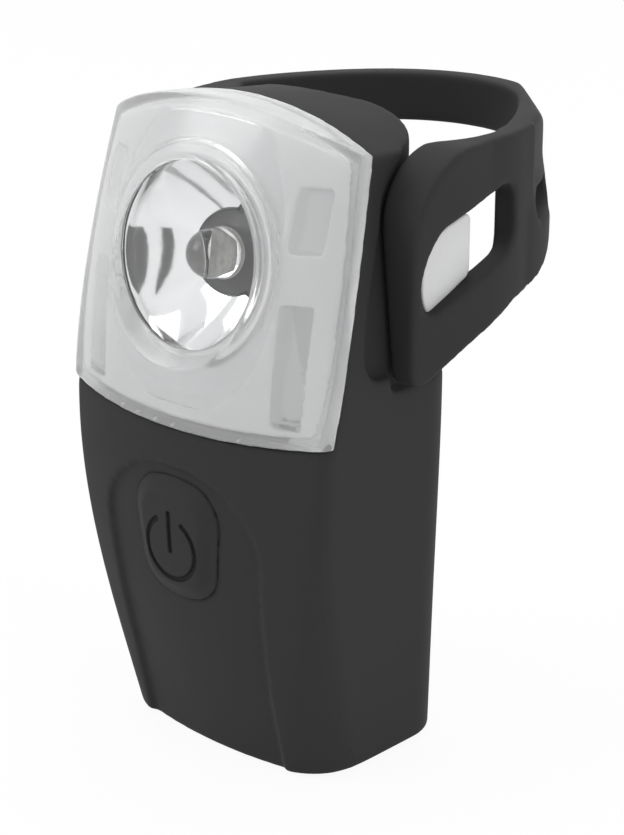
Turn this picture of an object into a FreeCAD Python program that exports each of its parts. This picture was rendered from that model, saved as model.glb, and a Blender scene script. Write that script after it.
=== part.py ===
"""Silicone-clad bicycle light: sleeve with moulded strap, clear lens and inner capsule, in millimetres."""

import FreeCAD, Part
import math
import os

V = FreeCAD.Vector
Turn = FreeCAD.Rotation
Place = FreeCAD.Placement

# Driving dimensions. X is the light's right, -Y its front and Z up, with the base at Z 0 while drawing.
SIZES = {
    "total_height": 74.1,
    "crown_drop": 4.3,
    "crown_reach": 18.6,
    "crown_lead": -13.4,
    "crown_tilt": 4.5,
    "base_drop": 0.5,
    "base_reach": 16.0,
    "sleeve_wall": 1.5,
    "capsule_wall": 1.1,
    "fit_gap": 0.1,
    "move_gap": 0.3,
    "lens_proud": 0.35,
    "lens_wall": 2.2,
    "lens_edge_level": 69.4,
    "lens_edge_top": -10.3,
    "lens_edge_slope": 0.2275,
    "lens_foot": 40.0,
    "lens_foot_rise": 0.9,
    "gasket_thick": 0.5,
    "window_height": 58.2,
    "window_front": -18.7,
    "window_tilt": 8.0,
    "window_radius": 9.85,
    "window_thick": 1.2,
    "ring_radius": 12.8,
    "ring_depth": 2.2,
    "tray_thick": 3.2,
    "cup_radius": 10.6,
    "cup_wall": 1.1,
    "bowl_rim_depth": 1.9,
    "bowl_foot_depth": 6.6,
    "bowl_foot_radius": 4.6,
    "bowl_wall": 0.8,
    "led_radius": 2.7,
    "led_tall": 4.2,
    "led_base_radius": 3.3,
    "led_base_tall": 0.7,
    "led_board_radius": 9.3,
    "led_board_thick": 1.0,
    "ledge_height": 44.5,
    "recess_half": 17.5,
    "recess_back": 2.5,
    "recess_corner": 9.5,
    "pocket_reach": 2.8,
    "post_radius": 13.7,
    "post_back": 14.6,
    "strap_top": 70.3,
    "strap_thick": 2.9,
    "strap_band": 4.8,
    "strap_root_low": 58.0,
    "strap_swell": 1.2,
    "second_slot_length": 7.0,
    "second_slot_height": 3.6,
    "tab_front": -8.4,
    "tab_low": 45.2,
    "tab_lean": 1.8,
    "tab_bend_radius": 7.8,
    "hinge_gap": 0.35,
    "hook_height": 57.9,
    "hook_back": -1.6,
    "hook_head": 1.5,
    "hook_reach": 20.9,
    "apron_depth": 0.7,
    "pad_proud": 0.1,
    "pad_thick": 0.8,
    "button_height": 27.2,
    "button_travel": 0.6,
    "stem_radius": 1.9,
    "plunger_radius": 1.6,
    "symbol_height": 26.1,
    "symbol_radius": 3.6,
    "symbol_line": 0.7,
    "symbol_depth": 0.3,
    "cap_height": 9.0,
    "cap_floor": 3.2,
    "seal_width": 0.4,
    "screw_half_gap": 12.9,
    "screw_back": -2.0,
    "screw_radius": 0.95,
    "screw_head_radius": 1.9,
    "screw_length": 10.5,
    "boss_radius": 2.3,
    "cell_radius": 5.25,
    "cell_length": 44.5,
    "cell_nub_radius": 1.9,
    "cell_nub_tall": 0.8,
    "cell_gap": 0.3,
    "cell_back": -6.5,
    "holder_plate": 1.0,
    "contact_thick": 0.3,
    "circuit_back": -12.5,
    "circuit_thick": 1.2,
    "circuit_half": 12.4,
    "circuit_foot": 10.0,
    "circuit_tall": 30.0,
    "switch_width": 6.0,
    "switch_tall": 2.7,
    "chip_width": 5.0,
    "chip_tall": 1.2,
}

# Height, front, corner half-width, corner depth, corner radius, rear half-width, rear depth, rear radius.
STATIONS = [
    (-2.0, -15.8, 16.1, -13.7, 7.4, 16.3, 6.2, 5.6),
    (10.0, -18.8, 17.0, -15.5, 5.6, 16.9, 5.9, 5.8),
    (24.0, -21.3, 18.3, -17.5, 3.4, 17.4, 5.7, 6.0),
    (40.0, -21.6, 19.3, -17.7, 1.8, 17.7, 5.7, 6.0),
    (56.0, -20.8, 19.2, -14.6, 1.6, 17.6, 5.4, 6.0),
    (67.0, -17.9, 18.6, -11.7, 1.6, 17.3, 5.0, 6.0),
    (79.0, -11.3, 18.0, -8.3, 1.6, 17.0, 4.6, 6.0),
]

PLANES = {
    "XY": Turn(),
    "XZ": Turn(V(1, 0, 0), 90),
    "YZ": Turn(V(1, 1, 1), 120),
}
# A tool that has to pass right through the light is this long.
THROUGH = 90.0
# Hinge lines of the strap, in plan, and how far the tab's line is turned from straight across.
ROOT_PIN = (-19.4, 8.4)
TAB_PIN = (20.0, 11.0)
TAB_TURN = 16.0
# How far round each side the strap follows the post, in degrees from its back.
STRAP_WRAP = 50.0
# The level that the strap's wing comes down to at the right, and that of both screw heads' seats.
WING_LOW = 56.0
SCREW_SEAT = 3.8
# Where the strap's second slot opens at its right bend, and which way it faces, in degrees from X.
SLOT_MOUTH = (16.8, 19.7, 60.8)
SLOT_TURN = 32.0

doc = FreeCAD.newDocument("BikeLight")
sheet = doc.addObject("Spreadsheet::Sheet", "Sizes")
for row, (alias, value) in enumerate(SIZES.items(), start=1):
    sheet.set(f"A{row}", alias)
    sheet.set(f"B{row}", str(value))
    sheet.setAlias(f"B{row}", alias)
doc.recompute()


def size(alias):
    """A driving dimension as the sheet holds it."""
    return float(sheet.get(alias))


STRAP_MIDDLE = size("strap_top") - size("strap_band") / 2
FRAME = Place(V(0, -size("post_back"), -STRAP_MIDDLE), Turn())
NODES = []
# Forms already drawn, by their insets.
FORMS = {}


def publish(obj, name):
    """Makes an object a sub-part: its own label, and its place in the frame round the post's axis."""
    obj.Label = name
    obj.Placement = FRAME.multiply(obj.Placement)
    NODES.append(obj)
    return obj


def bind(obj, prop, value):
    """Sets a size, or ties it to the sheet where it is given as an expression."""
    if isinstance(value, str):
        obj.setExpression(prop, value)
    else:
        setattr(obj, prop, value)


def line(start, end):
    return Part.LineSegment(V(*start), V(*end))


def arc(start, middle, end):
    return Part.Arc(V(*start), V(*middle), V(*end))


def closed(points):
    """Straight edges round a list of points."""
    return [line(a, b) for a, b in zip(points, points[1:] + points[:1])]


def sketch(name, plane, base, geometry):
    drawn = doc.addObject("Sketcher::SketchObject", name)
    drawn.Placement = Place(V(*base), PLANES[plane])
    drawn.addGeometry(geometry, False)
    return drawn


def extrusion(name, profile, direction, length):
    solid = doc.addObject("Part::Extrusion", name)
    solid.Base = profile
    solid.DirMode = "Custom"
    solid.Dir = V(*direction)
    bind(solid, "LengthFwd", length)
    solid.Solid = True
    return solid


def boolean(kind, name, base, tool):
    result = doc.addObject(f"Part::{kind}", name)
    result.Base = base
    result.Tool = tool
    return result


def cut(name, base, *tools):
    for number, tool in enumerate(tools):
        base = boolean("Cut", f"{name}_cut{number}", base, tool)
    return base


def common(name, base, tool):
    return boolean("Common", f"{name}_common", base, tool)


def fuse(name, *shapes):
    result = doc.addObject("Part::MultiFuse", f"{name}_fuse")
    result.Shapes = list(shapes)
    return result


def box(name, low, high):
    solid = doc.addObject("Part::Box", name)
    solid.Length = high[0] - low[0]
    solid.Width = high[1] - low[1]
    solid.Height = high[2] - low[2]
    solid.Placement.Base = V(*low)
    return solid


def cylinder(name, radius, length, base, axis=(0, 0, 1)):
    solid = doc.addObject("Part::Cylinder", name)
    bind(solid, "Radius", radius)
    bind(solid, "Height", length)
    solid.Placement = Place(V(*base), Turn(V(0, 0, 1), V(*axis)))
    return solid


def body_sketch(body, name, role, offset, geometry):
    """A sketch on one of a body's own origin planes."""
    plane = next(f for f in body.Origin.OriginFeatures if f.Role == role)
    drawn = body.newObject("Sketcher::SketchObject", name)
    drawn.AttachmentSupport = [(plane, "")]
    drawn.MapMode = "FlatFace"
    drawn.AttachmentOffset = Place(V(0, 0, offset), Turn())
    drawn.addGeometry(geometry, False)
    return drawn


def padded(name, geometry, length, place=Place()):
    """A body of one pad, drawn on its XY plane and rising along its Z."""
    body = doc.addObject("PartDesign::Body", name)
    profile = body_sketch(body, f"{name}_outline", "XY_Plane", 0, geometry)
    pad = body.newObject("PartDesign::Pad", f"{name}_pad")
    pad.Profile = profile
    bind(pad, "Length", length)
    body.Placement = place
    return body


def revolved(name, geometry, place=Place()):
    """A body turned about its own Z axis from a half section: X is the radius, Y the height."""
    body = doc.addObject("PartDesign::Body", name)
    profile = body_sketch(body, f"{name}_section", "XZ_Plane", 0, geometry)
    spun = body.newObject("PartDesign::Revolution", f"{name}_turned")
    spun.Profile = profile
    spun.ReferenceAxis = (profile, ["V_Axis"])
    spun.Angle = 360
    body.Placement = place
    return body


def station_outline(station, inset):
    """Outline at one height: bowed front, rounded corners, straight flanks and a flat back."""
    _, front, half, corner_y, corner_r, rear_half, rear_y, rear_r = station
    bow = corner_y - front
    bow_r = (half * half + bow * bow) / (2 * bow)
    centre = V(0, front + bow_r, 0)
    along = V(rear_half - half, rear_y - corner_y, 0).normalize()
    out = V(along.y, -along.x, 0)
    corner = V(half, corner_y, 0)
    r1 = max(corner_r - inset, 0.7)
    r2 = max(rear_r - inset, 0.7)
    rel = corner - out * (inset + r1) - centre
    reach = bow_r - inset - r1
    step = -rel.dot(along) - math.sqrt(rel.dot(along) ** 2 - rel.dot(rel) + reach * reach)
    q1 = centre + rel + along * step
    aim = (q1 - centre).normalize()
    start = corner - out * (inset + r2)
    q2 = start + along * ((rear_y - inset - r2 - start.y) / along.y)
    right = [
        centre + aim * (bow_r - inset),
        q1 + (aim + out).normalize() * r1,
        q1 + out * r1,
        q2 + out * r2,
        q2 + (out + V(0, 1, 0)).normalize() * r2,
        q2 + V(0, r2, 0),
    ]
    left = [V(-p.x, p.y, 0) for p in right]
    return [
        Part.Arc(left[0], V(0, front + inset, 0), right[0]),
        Part.Arc(right[0], right[1], right[2]),
        Part.LineSegment(right[2], right[3]),
        Part.Arc(right[3], right[4], right[5]),
        Part.LineSegment(right[5], left[5]),
        Part.Arc(left[5], left[4], left[3]),
        Part.LineSegment(left[3], left[2]),
        Part.Arc(left[2], left[1], left[0]),
    ]


def crown_and_base(name, inset, foot):
    """The space between the crown, which falls to the back, and the bowed base, each drawn in."""
    wide = 30.0
    top = size("total_height") - inset
    drop = size("crown_drop") * (wide / size("crown_reach")) ** 2
    sag = size("base_drop") * (wide / size("base_reach")) ** 2
    slope = math.tan(math.radians(size("crown_tilt")))
    front = -40.0
    rise = (size("crown_lead") - front) * slope
    middle = size("total_height") / 2
    roof = [
        arc((-wide, top - drop, 0), (0, top, 0), (wide, top - drop, 0)),
        line((wide, top - drop, 0), (wide, -wide, 0)),
        line((wide, -wide, 0), (-wide, -wide, 0)),
        line((-wide, -wide, 0), (-wide, top - drop, 0)),
    ]
    floor = [
        arc((-wide, foot + sag, 0), (0, foot, 0), (wide, foot + sag, 0)),
        line((wide, foot + sag, 0), (wide, middle * 4, 0)),
        line((wide, middle * 4, 0), (-wide, middle * 4, 0)),
        line((-wide, middle * 4, 0), (-wide, foot + sag, 0)),
    ]
    under = extrusion(
        f"{name}_under",
        sketch(f"{name}_roof", "XZ", (0, front, rise), roof),
        (0, 1, -slope),
        THROUGH,
    )
    over = extrusion(f"{name}_over", sketch(f"{name}_floor", "XZ", (0, front, 0), floor), (0, 1, 0), THROUGH)
    return common(f"{name}_span", under, over)


def moulded_form(inset, foot=None):
    """The light's form drawn in by one inset, its base by another if one is given."""
    key = (round(inset, 4), foot)
    if key in FORMS:
        return FORMS[key]
    name = f"form_{len(FORMS)}"
    tall = doc.addObject("Part::Loft", f"{name}_loft")
    tall.Sections = [
        sketch(f"{name}_station{n}", "XY", (0, 0, s[0]), station_outline(s, inset))
        for n, s in enumerate(STATIONS)
    ]
    tall.Solid = True
    tall.Ruled = False
    whole = common(name, tall, crown_and_base(name, inset, inset if foot is None else foot))
    axis = (0, size("post_back"), -THROUGH)
    cradle = cylinder(f"{name}_cradle", f"Sizes.post_radius + {key[0]}", THROUGH * 2, axis)
    FORMS[key] = cut(name, whole, cradle, strap_recess(f"{name}_recess", inset))
    return FORMS[key]


def strap_recess(name, inset):
    """What is cut from the right rear above the ledge, so that the strap's tab lies in the form."""
    half = size("recess_half") - inset
    back = size("recess_back") - inset
    corner = size("recess_corner") - inset
    turn = corner * (1 - math.sqrt(0.5))
    far = 40.0
    plan = [
        line((half, -far, 0), (far, -far, 0)),
        line((far, -far, 0), (far, far, 0)),
        line((far, far, 0), (0, far, 0)),
        line((0, far, 0), (0, back, 0)),
        line((0, back, 0), (half - corner, back, 0)),
        arc((half - corner, back, 0), (half - turn, back - turn, 0), (half, back - corner, 0)),
        line((half, back - corner, 0), (half, -far, 0)),
    ]
    ledge = size("ledge_height") - inset
    above = sketch(f"{name}_plan", "XY", (0, 0, ledge), plan)
    column = extrusion(f"{name}_column", above, (0, 0, 1), THROUGH)
    lead = size("tab_front") - size("hinge_gap") - inset
    toe = lead + size("tab_lean")
    pocket = lead - size("pocket_reach")
    bend = size("tab_bend_radius")
    middle = (lead + inset + bend, size("strap_top") + size("hinge_gap") - bend)
    sweep = bend + inset
    slant = sweep * math.sqrt(0.5)
    crest = (middle[0], middle[1] + sweep, 0)
    side = [
        line((far, ledge, 0), (toe, ledge, 0)),
        line((toe, ledge, 0), (toe, ledge + 2.1, 0)),
        arc((toe, ledge + 2.1, 0), (pocket + 0.8, ledge + 2.9, 0), (pocket, ledge + 5.0, 0)),
        line((pocket, ledge + 5.0, 0), (pocket + 0.4, ledge + 9.0, 0)),
        line((pocket + 0.4, ledge + 9.0, 0), (lead, middle[1], 0)),
        arc((lead, middle[1], 0), (middle[0] - slant, middle[1] + slant, 0), crest),
        line(crest, (middle[0], THROUGH, 0)),
        line((middle[0], THROUGH, 0), (far, THROUGH, 0)),
        line((far, THROUGH, 0), (far, ledge, 0)),
    ]
    flank = extrusion(f"{name}_flank", sketch(f"{name}_side", "YZ", (0, 0, 0), side), (1, 0, 0), far)
    return common(name, column, flank)


def front_zone(name, back=0.0, foot=0.0):
    """Everything ahead of the lens's slanted rear edge and above its bowed foot, each moved by a gap."""
    wide = 30.0
    low = size("lens_foot") + foot
    rise = size("lens_foot_rise") * (wide / 19.7) ** 2
    over = [
        arc((-wide, low + rise, 0), (0, low, 0), (wide, low + rise, 0)),
        line((wide, low + rise, 0), (wide, THROUGH, 0)),
        line((wide, THROUGH, 0), (-wide, THROUGH, 0)),
        line((-wide, THROUGH, 0), (-wide, low + rise, 0)),
    ]
    slab = extrusion(f"{name}_slab", sketch(f"{name}_view", "XZ", (0, 30, 0), over), (0, -1, 0), THROUGH)
    edge_y = size("lens_edge_top") - size("lens_edge_level") * size("lens_edge_slope") + back
    side = closed([
        (edge_y, 0, 0),
        (edge_y + THROUGH * size("lens_edge_slope"), THROUGH, 0),
        (-60, THROUGH, 0),
        (-60, 0, 0),
    ])
    wedge = extrusion(f"{name}_wedge", sketch(f"{name}_side", "YZ", (-40, 0, 0), side), (1, 0, 0), 80)
    return common(f"{name}_zone", slab, wedge)


def optical(depth=0.0):
    """The place of a turned piece on the lamp's axis, so far behind the window's face."""
    tilt = math.radians(size("window_tilt"))
    out = V(0, -math.cos(tilt), math.sin(tilt))
    base = V(0, size("window_front"), size("window_height")) - out * depth
    return Place(base, Turn(V(0, 0, 1), out))


def apron_outline():
    """The shield-shaped hollow of the lower front, seen from ahead."""
    right = [
        arc((0, 35.5, 0), (5.4, 34.5, 0), (9.6, 31.6, 0)),
        arc((9.6, 31.6, 0), (11.1, 29.4, 0), (11.6, 26.6, 0)),
        line((11.6, 26.6, 0), (10.7, 10.0, 0)),
        line((10.7, 10.0, 0), (10.5, -6.0, 0)),
        line((10.5, -6.0, 0), (0, -6.0, 0)),
    ]
    return right + mirrored(right)


def mirrored(edges):
    """The same edges on the other side of the middle plane."""
    other = []
    for edge in edges:
        flipped = edge.copy()
        flipped.mirror(V(0, 0, 0), V(0, 1, 0))
        other.append(flipped)
    return other


def pad_outline(grow=0.0):
    """The button pad seen from ahead: a rounded shield, grown by a gap."""
    top = 33.5 + grow
    low = 20.7 - grow
    wide = 5.4 + grow
    right = [
        arc((0, top, 0), (1.7, top - 0.1, 0), (3.2, top - 0.5, 0)),
        arc((3.2, top - 0.5, 0), (wide - 0.7, top - 1.9, 0), (wide, top - 4.4, 0)),
        line((wide, top - 4.4, 0), (wide - 0.5, 25.0, 0)),
        arc((wide - 0.5, 25.0, 0), (4.1 + 0.6 * grow, low + 1.6, 0), (2.6, low + 0.4, 0)),
        arc((2.6, low + 0.4, 0), (1.3, low + 0.1, 0), (0, low, 0)),
    ]
    return right + mirrored(right)


def from_ahead(name, outline, back=-10.0):
    """A prism that runs into the lower front from ahead, as deep as one plane."""
    return extrusion(name, sketch(f"{name}_outline", "XZ", (0, back, 0), outline), (0, -1, 0), THROUGH / 2)


def band_box(name, low, high):
    """A slab of height across the whole light."""
    return box(name, (-THROUGH / 2, -THROUGH / 2, low), (THROUGH / 2, THROUGH / 2, high))


def make_sleeve():
    shell = cut(
        "sleeve_shell",
        moulded_form(0),
        moulded_form(size("sleeve_wall")),
        front_zone("sleeve_mouth"),
    )
    below = -1.5
    floor = moulded_form(size("apron_depth"), below)
    hollow = cut("apron", from_ahead("apron_prism", apron_outline()), floor)
    gap = from_ahead("pad_gap", pad_outline(size("move_gap")))
    hook_hole = hook_stem("hook_hole", size("hinge_gap"))
    body = cut("sleeve_body", shell, hollow, gap, hook_hole)
    publish(fuse("sleeve", body, strap_root()), "silicone_sleeve")


def across(pin, turn):
    """The two ends of a hinge line through a pin, over the strap's thickness: inner, then outer."""
    half = size("strap_thick") / 2
    angle = math.radians(turn)
    step = (half * math.cos(angle), half * math.sin(angle))
    return (pin[0] - step[0], pin[1] - step[1]), (pin[0] + step[0], pin[1] + step[1])


def hinge_seat(name, pin):
    """The round clearance that a strap's knuckle turns in."""
    return cylinder(name, "Sizes.strap_thick / 2 + Sizes.hinge_gap", THROUGH, (*pin, 0))


def knuckle(name, pin):
    return cylinder(name, "Sizes.strap_thick / 2", THROUGH, (*pin, 0))


def strap_root():
    """The stub of strap that grows out of the sleeve's left rear, with the seat that the loop turns in."""
    outer, inner = across(ROOT_PIN, 0)
    outline = [
        line((-14.5, -4.0, 0), (-14.5, 3.0, 0)),
        line((-14.5, 3.0, 0), (*inner, 0)),
        line((*inner, 0), (*outer, 0)),
        arc((*outer, 0), (-20.3, 2.8, 0), (-18.1, -5.0, 0)),
        line((-18.1, -5.0, 0), (-14.5, -4.0, 0)),
    ]
    low = size("strap_root_low")
    foot = sketch("root_outline", "XY", (0, 0, low), outline)
    stub = extrusion("root_block", foot, (0, 0, 1), "Sizes.strap_top - Sizes.strap_root_low")
    cradle = cylinder("root_cradle", "Sizes.post_radius", THROUGH, (0, size("post_back"), 0))
    return cut("root", stub, hinge_seat("root_seat", ROOT_PIN), moulded_form(size("sleeve_wall")), cradle)


def ramp(start, end, radius):
    """A rise from one level to another: an arc, a straight slope and an arc, each end level."""
    dx = end[0] - start[0]
    dz = end[1] - start[1]
    up = math.copysign(1, dz)
    rise = abs(dz) - 2 * radius
    turn = math.asin(2 * radius / math.hypot(dx, rise)) + math.atan2(rise, dx)
    def on_arc(origin, angle, way):
        return (
            origin[0] + way * radius * math.sin(angle),
            origin[1] + way * up * radius * (1 - math.cos(angle)),
            0,
        )
    return [
        arc((*start, 0), on_arc(start, turn / 2, 1), on_arc(start, turn, 1)),
        line(on_arc(start, turn, 1), on_arc(end, turn, -1)),
        arc(on_arc(end, turn, -1), on_arc(end, turn / 2, -1), (*end, 0)),
    ]


def strap_heights():
    """The loop's height seen from ahead: a low band behind the post that deepens to both ends."""
    top = size("strap_top")
    band = top - size("strap_band")
    root = size("strap_root_low")
    wide = 15.5
    tip = 22.5
    tip_low = WING_LOW - 4.8
    edges = [
        line((-30, root, 0), (-17.5, root, 0)),
        *ramp((-17.5, root), (-10.5, band), 2.5),
        line((-10.5, band, 0), (8.8, band, 0)),
        *ramp((8.8, band), (wide, WING_LOW), 2.5),
        line((wide, WING_LOW, 0), (16.6, WING_LOW, 0)),
        line((16.6, WING_LOW, 0), (tip, tip_low, 0)),
        line((tip, tip_low, 0), (30, tip_low, 0)),
        line((30, tip_low, 0), (30, top, 0)),
        line((30, top, 0), (-30, top, 0)),
        line((-30, top, 0), (-30, root, 0)),
    ]
    return extrusion("loop_heights", sketch("loop_view", "XZ", (0, 60, 0), edges), (0, -1, 0), 70)


def make_strap_loop():
    """The band round the post, from its knuckle at the left root to the seat of the tab."""
    thick = size("strap_thick")
    r = size("post_radius")
    back = size("post_back")
    wrap = math.radians(STRAP_WRAP)
    near = (r * math.sin(wrap), back + r * math.cos(wrap))
    far = ((r + thick) * math.sin(wrap), back + (r + thick) * math.cos(wrap))
    tab_in, tab_out = across(TAB_PIN, TAB_TURN)
    root_out, root_in = across(ROOT_PIN, 0)
    outline = [
        arc((-near[0], near[1], 0), (0, back + r, 0), (*near, 0)),
        arc((*near, 0), (14.4, back + 3.5, 0), (*tab_in, 0)),
        line((*tab_in, 0), (*tab_out, 0)),
        arc((*tab_out, 0), (14.4 + 0.83 * thick, back + 3.5 + 0.56 * thick, 0), (*far, 0)),
        arc((*far, 0), (0, back + r + thick, 0), (-far[0], far[1], 0)),
        arc((-far[0], far[1], 0), (-14.7 - 0.87 * thick, back + 2.9 + 0.5 * thick, 0), (*root_out, 0)),
        line((*root_out, 0), (*root_in, 0)),
        arc((*root_in, 0), (-14.7, back + 2.9, 0), (-near[0], near[1], 0)),
    ]
    band = extrusion("loop_band", sketch("loop_outline", "XY", (0, 0, 40), outline), (0, 0, 1), 40)
    whole = fuse("loop_whole", band, strap_swelling(tab_out, far), knuckle("loop_knuckle", ROOT_PIN))
    holed = cut("loop_holed", whole, hinge_seat("loop_seat", TAB_PIN), second_slot())
    publish(common("loop", holed, strap_heights()), "strap_loop")


def strap_swelling(start, end):
    """The fuller outside of the right bend round the second slot, which fades out above it."""
    back = size("post_back")
    fades = SLOT_MOUTH[2] + size("second_slot_height")
    sections = []
    for level, swell in ((40, size("strap_swell")), (fades - 4.5, size("strap_swell")), (fades, 0)):
        thick = size("strap_thick")
        outer = (14.4 + 0.83 * (thick + swell), back + 3.5 + 0.56 * (thick + swell), 0)
        within = (14.4 + 0.83 * thick / 2, back + 3.5 + 0.56 * thick / 2, 0)
        outline = [arc((*start, 0), outer, (*end, 0)), arc((*end, 0), within, (*start, 0))]
        sections.append(sketch(f"swelling_{len(sections)}", "XY", (0, 0, level), outline))
    swelling = doc.addObject("Part::Loft", "swelling")
    swelling.Sections = sections
    swelling.Solid = True
    swelling.Ruled = True
    return swelling


def second_slot():
    """The cutter of the slot at the right bend, for a thicker post, level and square to the strap."""
    deep = 6.0
    angle = math.radians(SLOT_TURN)
    out = V(math.cos(angle), math.sin(angle), 0)
    along = V(-math.sin(angle), math.cos(angle), 0)
    outline = stadium(size("second_slot_length"), size("second_slot_height"))
    place = Place(V(*SLOT_MOUTH) - out * deep, Turn(along, V(0, 0, 1), out, "XYZ"))
    return padded("second_slot", outline, deep * 2, place)


def stadium(length, height):
    """A round-ended slot about the sketch's origin, along its X."""
    r = height / 2
    half = length / 2 - r
    return [
        line((-half, -r, 0), (half, -r, 0)),
        arc((half, -r, 0), (half + r, 0, 0), (half, r, 0)),
        line((half, r, 0), (-half, r, 0)),
        arc((-half, r, 0), (-half - r, 0, 0), (-half, -r, 0)),
    ]


def tab_plan(front_outer):
    """The tab's outline from above, from its knuckle forward; only its outer front corner changes."""
    inner, outer = across(TAB_PIN, TAB_TURN)
    seat = size("recess_half") + size("fit_gap") * 4
    front = size("tab_front")
    return [
        arc((*inner, 0), (19.75, 7.4, 0), (19.9, 3.8, 0)),
        arc((19.9, 3.8, 0), (19.2, 1.1, 0), (seat, -1.4, 0)),
        line((seat, -1.4, 0), (seat, front, 0)),
        line((seat, front, 0), (front_outer, front, 0)),
        arc((front_outer, front, 0), ((front_outer + 22.6) / 2 + 0.25, -2.1, 0), (22.6, 4.0, 0)),
        arc((22.6, 4.0, 0), (22.3, 7.6, 0), (*outer, 0)),
        line((*outer, 0), (*inner, 0)),
    ]


def tab_side():
    """The tab from its side: level top, rounded front, and a lower edge that climbs to the back."""
    front = size("tab_front")
    toe = front + size("tab_lean")
    top = size("strap_top")
    bend = size("tab_bend_radius")
    low = size("tab_low")
    foot = 1.4
    inset = 1 - math.sqrt(0.5)
    return [
        line((17.0, top, 0), (front + bend, top, 0)),
        arc((front + bend, top, 0), (front + bend * inset, top - bend * inset, 0), (front, top - bend, 0)),
        line((front, top - bend, 0), (toe, low + foot, 0)),
        arc((toe, low + foot, 0), (toe + foot * inset, low + foot * inset, 0), (toe + foot, low, 0)),
        line((toe + foot, low, 0), (-4.6, low, 0)),
        arc((-4.6, low, 0), (0.6, low + 3.0, 0), (6.5, low + 5.5, 0)),
        line((6.5, low + 5.5, 0), (17.0, low + 9.7, 0)),
        line((17.0, low + 9.7, 0), (17.0, top, 0)),
    ]


def slot_outline():
    """The tab's long slot from its side, wider at the front where the hook sits."""
    return [
        arc((-5.8, 54.0, 0), (-6.4, 56.8, 0), (-5.2, 60.7, 0)),
        arc((-5.2, 60.7, 0), (-4.2, 61.9, 0), (-2.8, 62.5, 0)),
        line((-2.8, 62.5, 0), (6.2, 64.9, 0)),
        arc((6.2, 64.9, 0), (7.8, 64.5, 0), (8.5, 62.9, 0)),
        line((8.5, 62.9, 0), (8.7, 60.2, 0)),
        arc((8.7, 60.2, 0), (8.0, 58.3, 0), (6.2, 57.1, 0)),
        line((6.2, 57.1, 0), (-3.4, 53.4, 0)),
        arc((-3.4, 53.4, 0), (-4.8, 53.2, 0), (-5.8, 54.0, 0)),
    ]


def make_strap_tab():
    """The strap's free end: a wedge that thickens to its front and top, with the slot that the hook holds."""
    wedge = doc.addObject("Part::Loft", "tab_wedge")
    wedge.Sections = [
        sketch("tab_low_plan", "XY", (0, 0, 44), tab_plan(20.3)),
        sketch("tab_high_plan", "XY", (0, 0, 71), tab_plan(24.1)),
    ]
    wedge.Solid = True
    wedge.Ruled = True
    side = extrusion("tab_profile", sketch("tab_outline", "YZ", (10, 0, 0), tab_side()), (1, 0, 0), 20)
    slot = extrusion("tab_slot", sketch("tab_slot_outline", "YZ", (10, 0, 0), slot_outline()), (1, 0, 0), 20)
    whole = fuse("tab_whole", wedge, knuckle("tab_knuckle", TAB_PIN))
    publish(cut("tab", common("tab_trimmed", whole, side), slot), "strap_tab")


def hook_stem(name, grow):
    """The hook's stem, or with a gap the hole that it comes through."""
    middle = size("hook_height")
    back = size("hook_back")
    outline = closed([
        (back - 3.2 - grow, middle - 3.0 - grow, 0),
        (back + 1.2 + grow, middle - 2.0 - grow, 0),
        (back + 1.2 + grow, middle + 3.6 + grow, 0),
        (back - 2.2 - grow, middle + 2.8 + grow, 0),
    ])
    root = 10
    flank = sketch(f"{name}_outline", "YZ", (root, 0, 0), outline)
    return extrusion(name, flank, (1, 0, 0), f"Sizes.hook_reach - Sizes.hook_head / 2 - {root}")


def make_hook():
    """The capsule's hook: a stem out of its right side and a wider flat head that the slot slips over."""
    middle = size("hook_height")
    back = size("hook_back")
    head = [
        arc((back - 2.8, middle - 3.0, 0), (back - 3.4, middle - 1.0, 0), (back - 2.2, middle + 2.6, 0)),
        arc((back - 2.2, middle + 2.6, 0), (back - 1.8, middle + 3.4, 0), (back - 1.0, middle + 3.7, 0)),
        line((back - 1.0, middle + 3.7, 0), (back + 2.7, middle + 4.6, 0)),
        arc((back + 2.7, middle + 4.6, 0), (back + 3.4, middle + 4.5, 0), (back + 3.7, middle + 3.8, 0)),
        line((back + 3.7, middle + 3.8, 0), (back + 3.7, middle, 0)),
        arc((back + 3.7, middle, 0), (back + 3.5, middle - 0.8, 0), (back + 2.7, middle - 1.3, 0)),
        line((back + 2.7, middle - 1.3, 0), (back - 2.0, middle - 3.3, 0)),
        arc((back - 2.0, middle - 3.3, 0), (back - 2.5, middle - 3.3, 0), (back - 2.8, middle - 3.0, 0)),
    ]
    face = sketch("hook_head_outline", "YZ", (size("hook_reach"), 0, 0), head)
    plate = extrusion("hook_head", face, (-1, 0, 0), "Sizes.hook_head")
    whole = fuse("hook_whole", plate, hook_stem("hook_stem", 0))
    publish(cut("hook", whole, moulded_form(outer_inset())), "strap_hook")


def outer_inset():
    """How far the capsule's outside lies within the light's form."""
    return size("sleeve_wall") + size("fit_gap")


def inner_inset():
    """How far the capsule's inside lies within the light's form."""
    return outer_inset() + size("capsule_wall")


def optical_cylinder(name, radius, front, rear):
    """A round bar on the lamp's axis between two depths behind the window's face."""
    bar = cylinder(name, radius, rear - front, (0, 0, 0))
    bar.Placement = optical(rear)
    return bar


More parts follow.
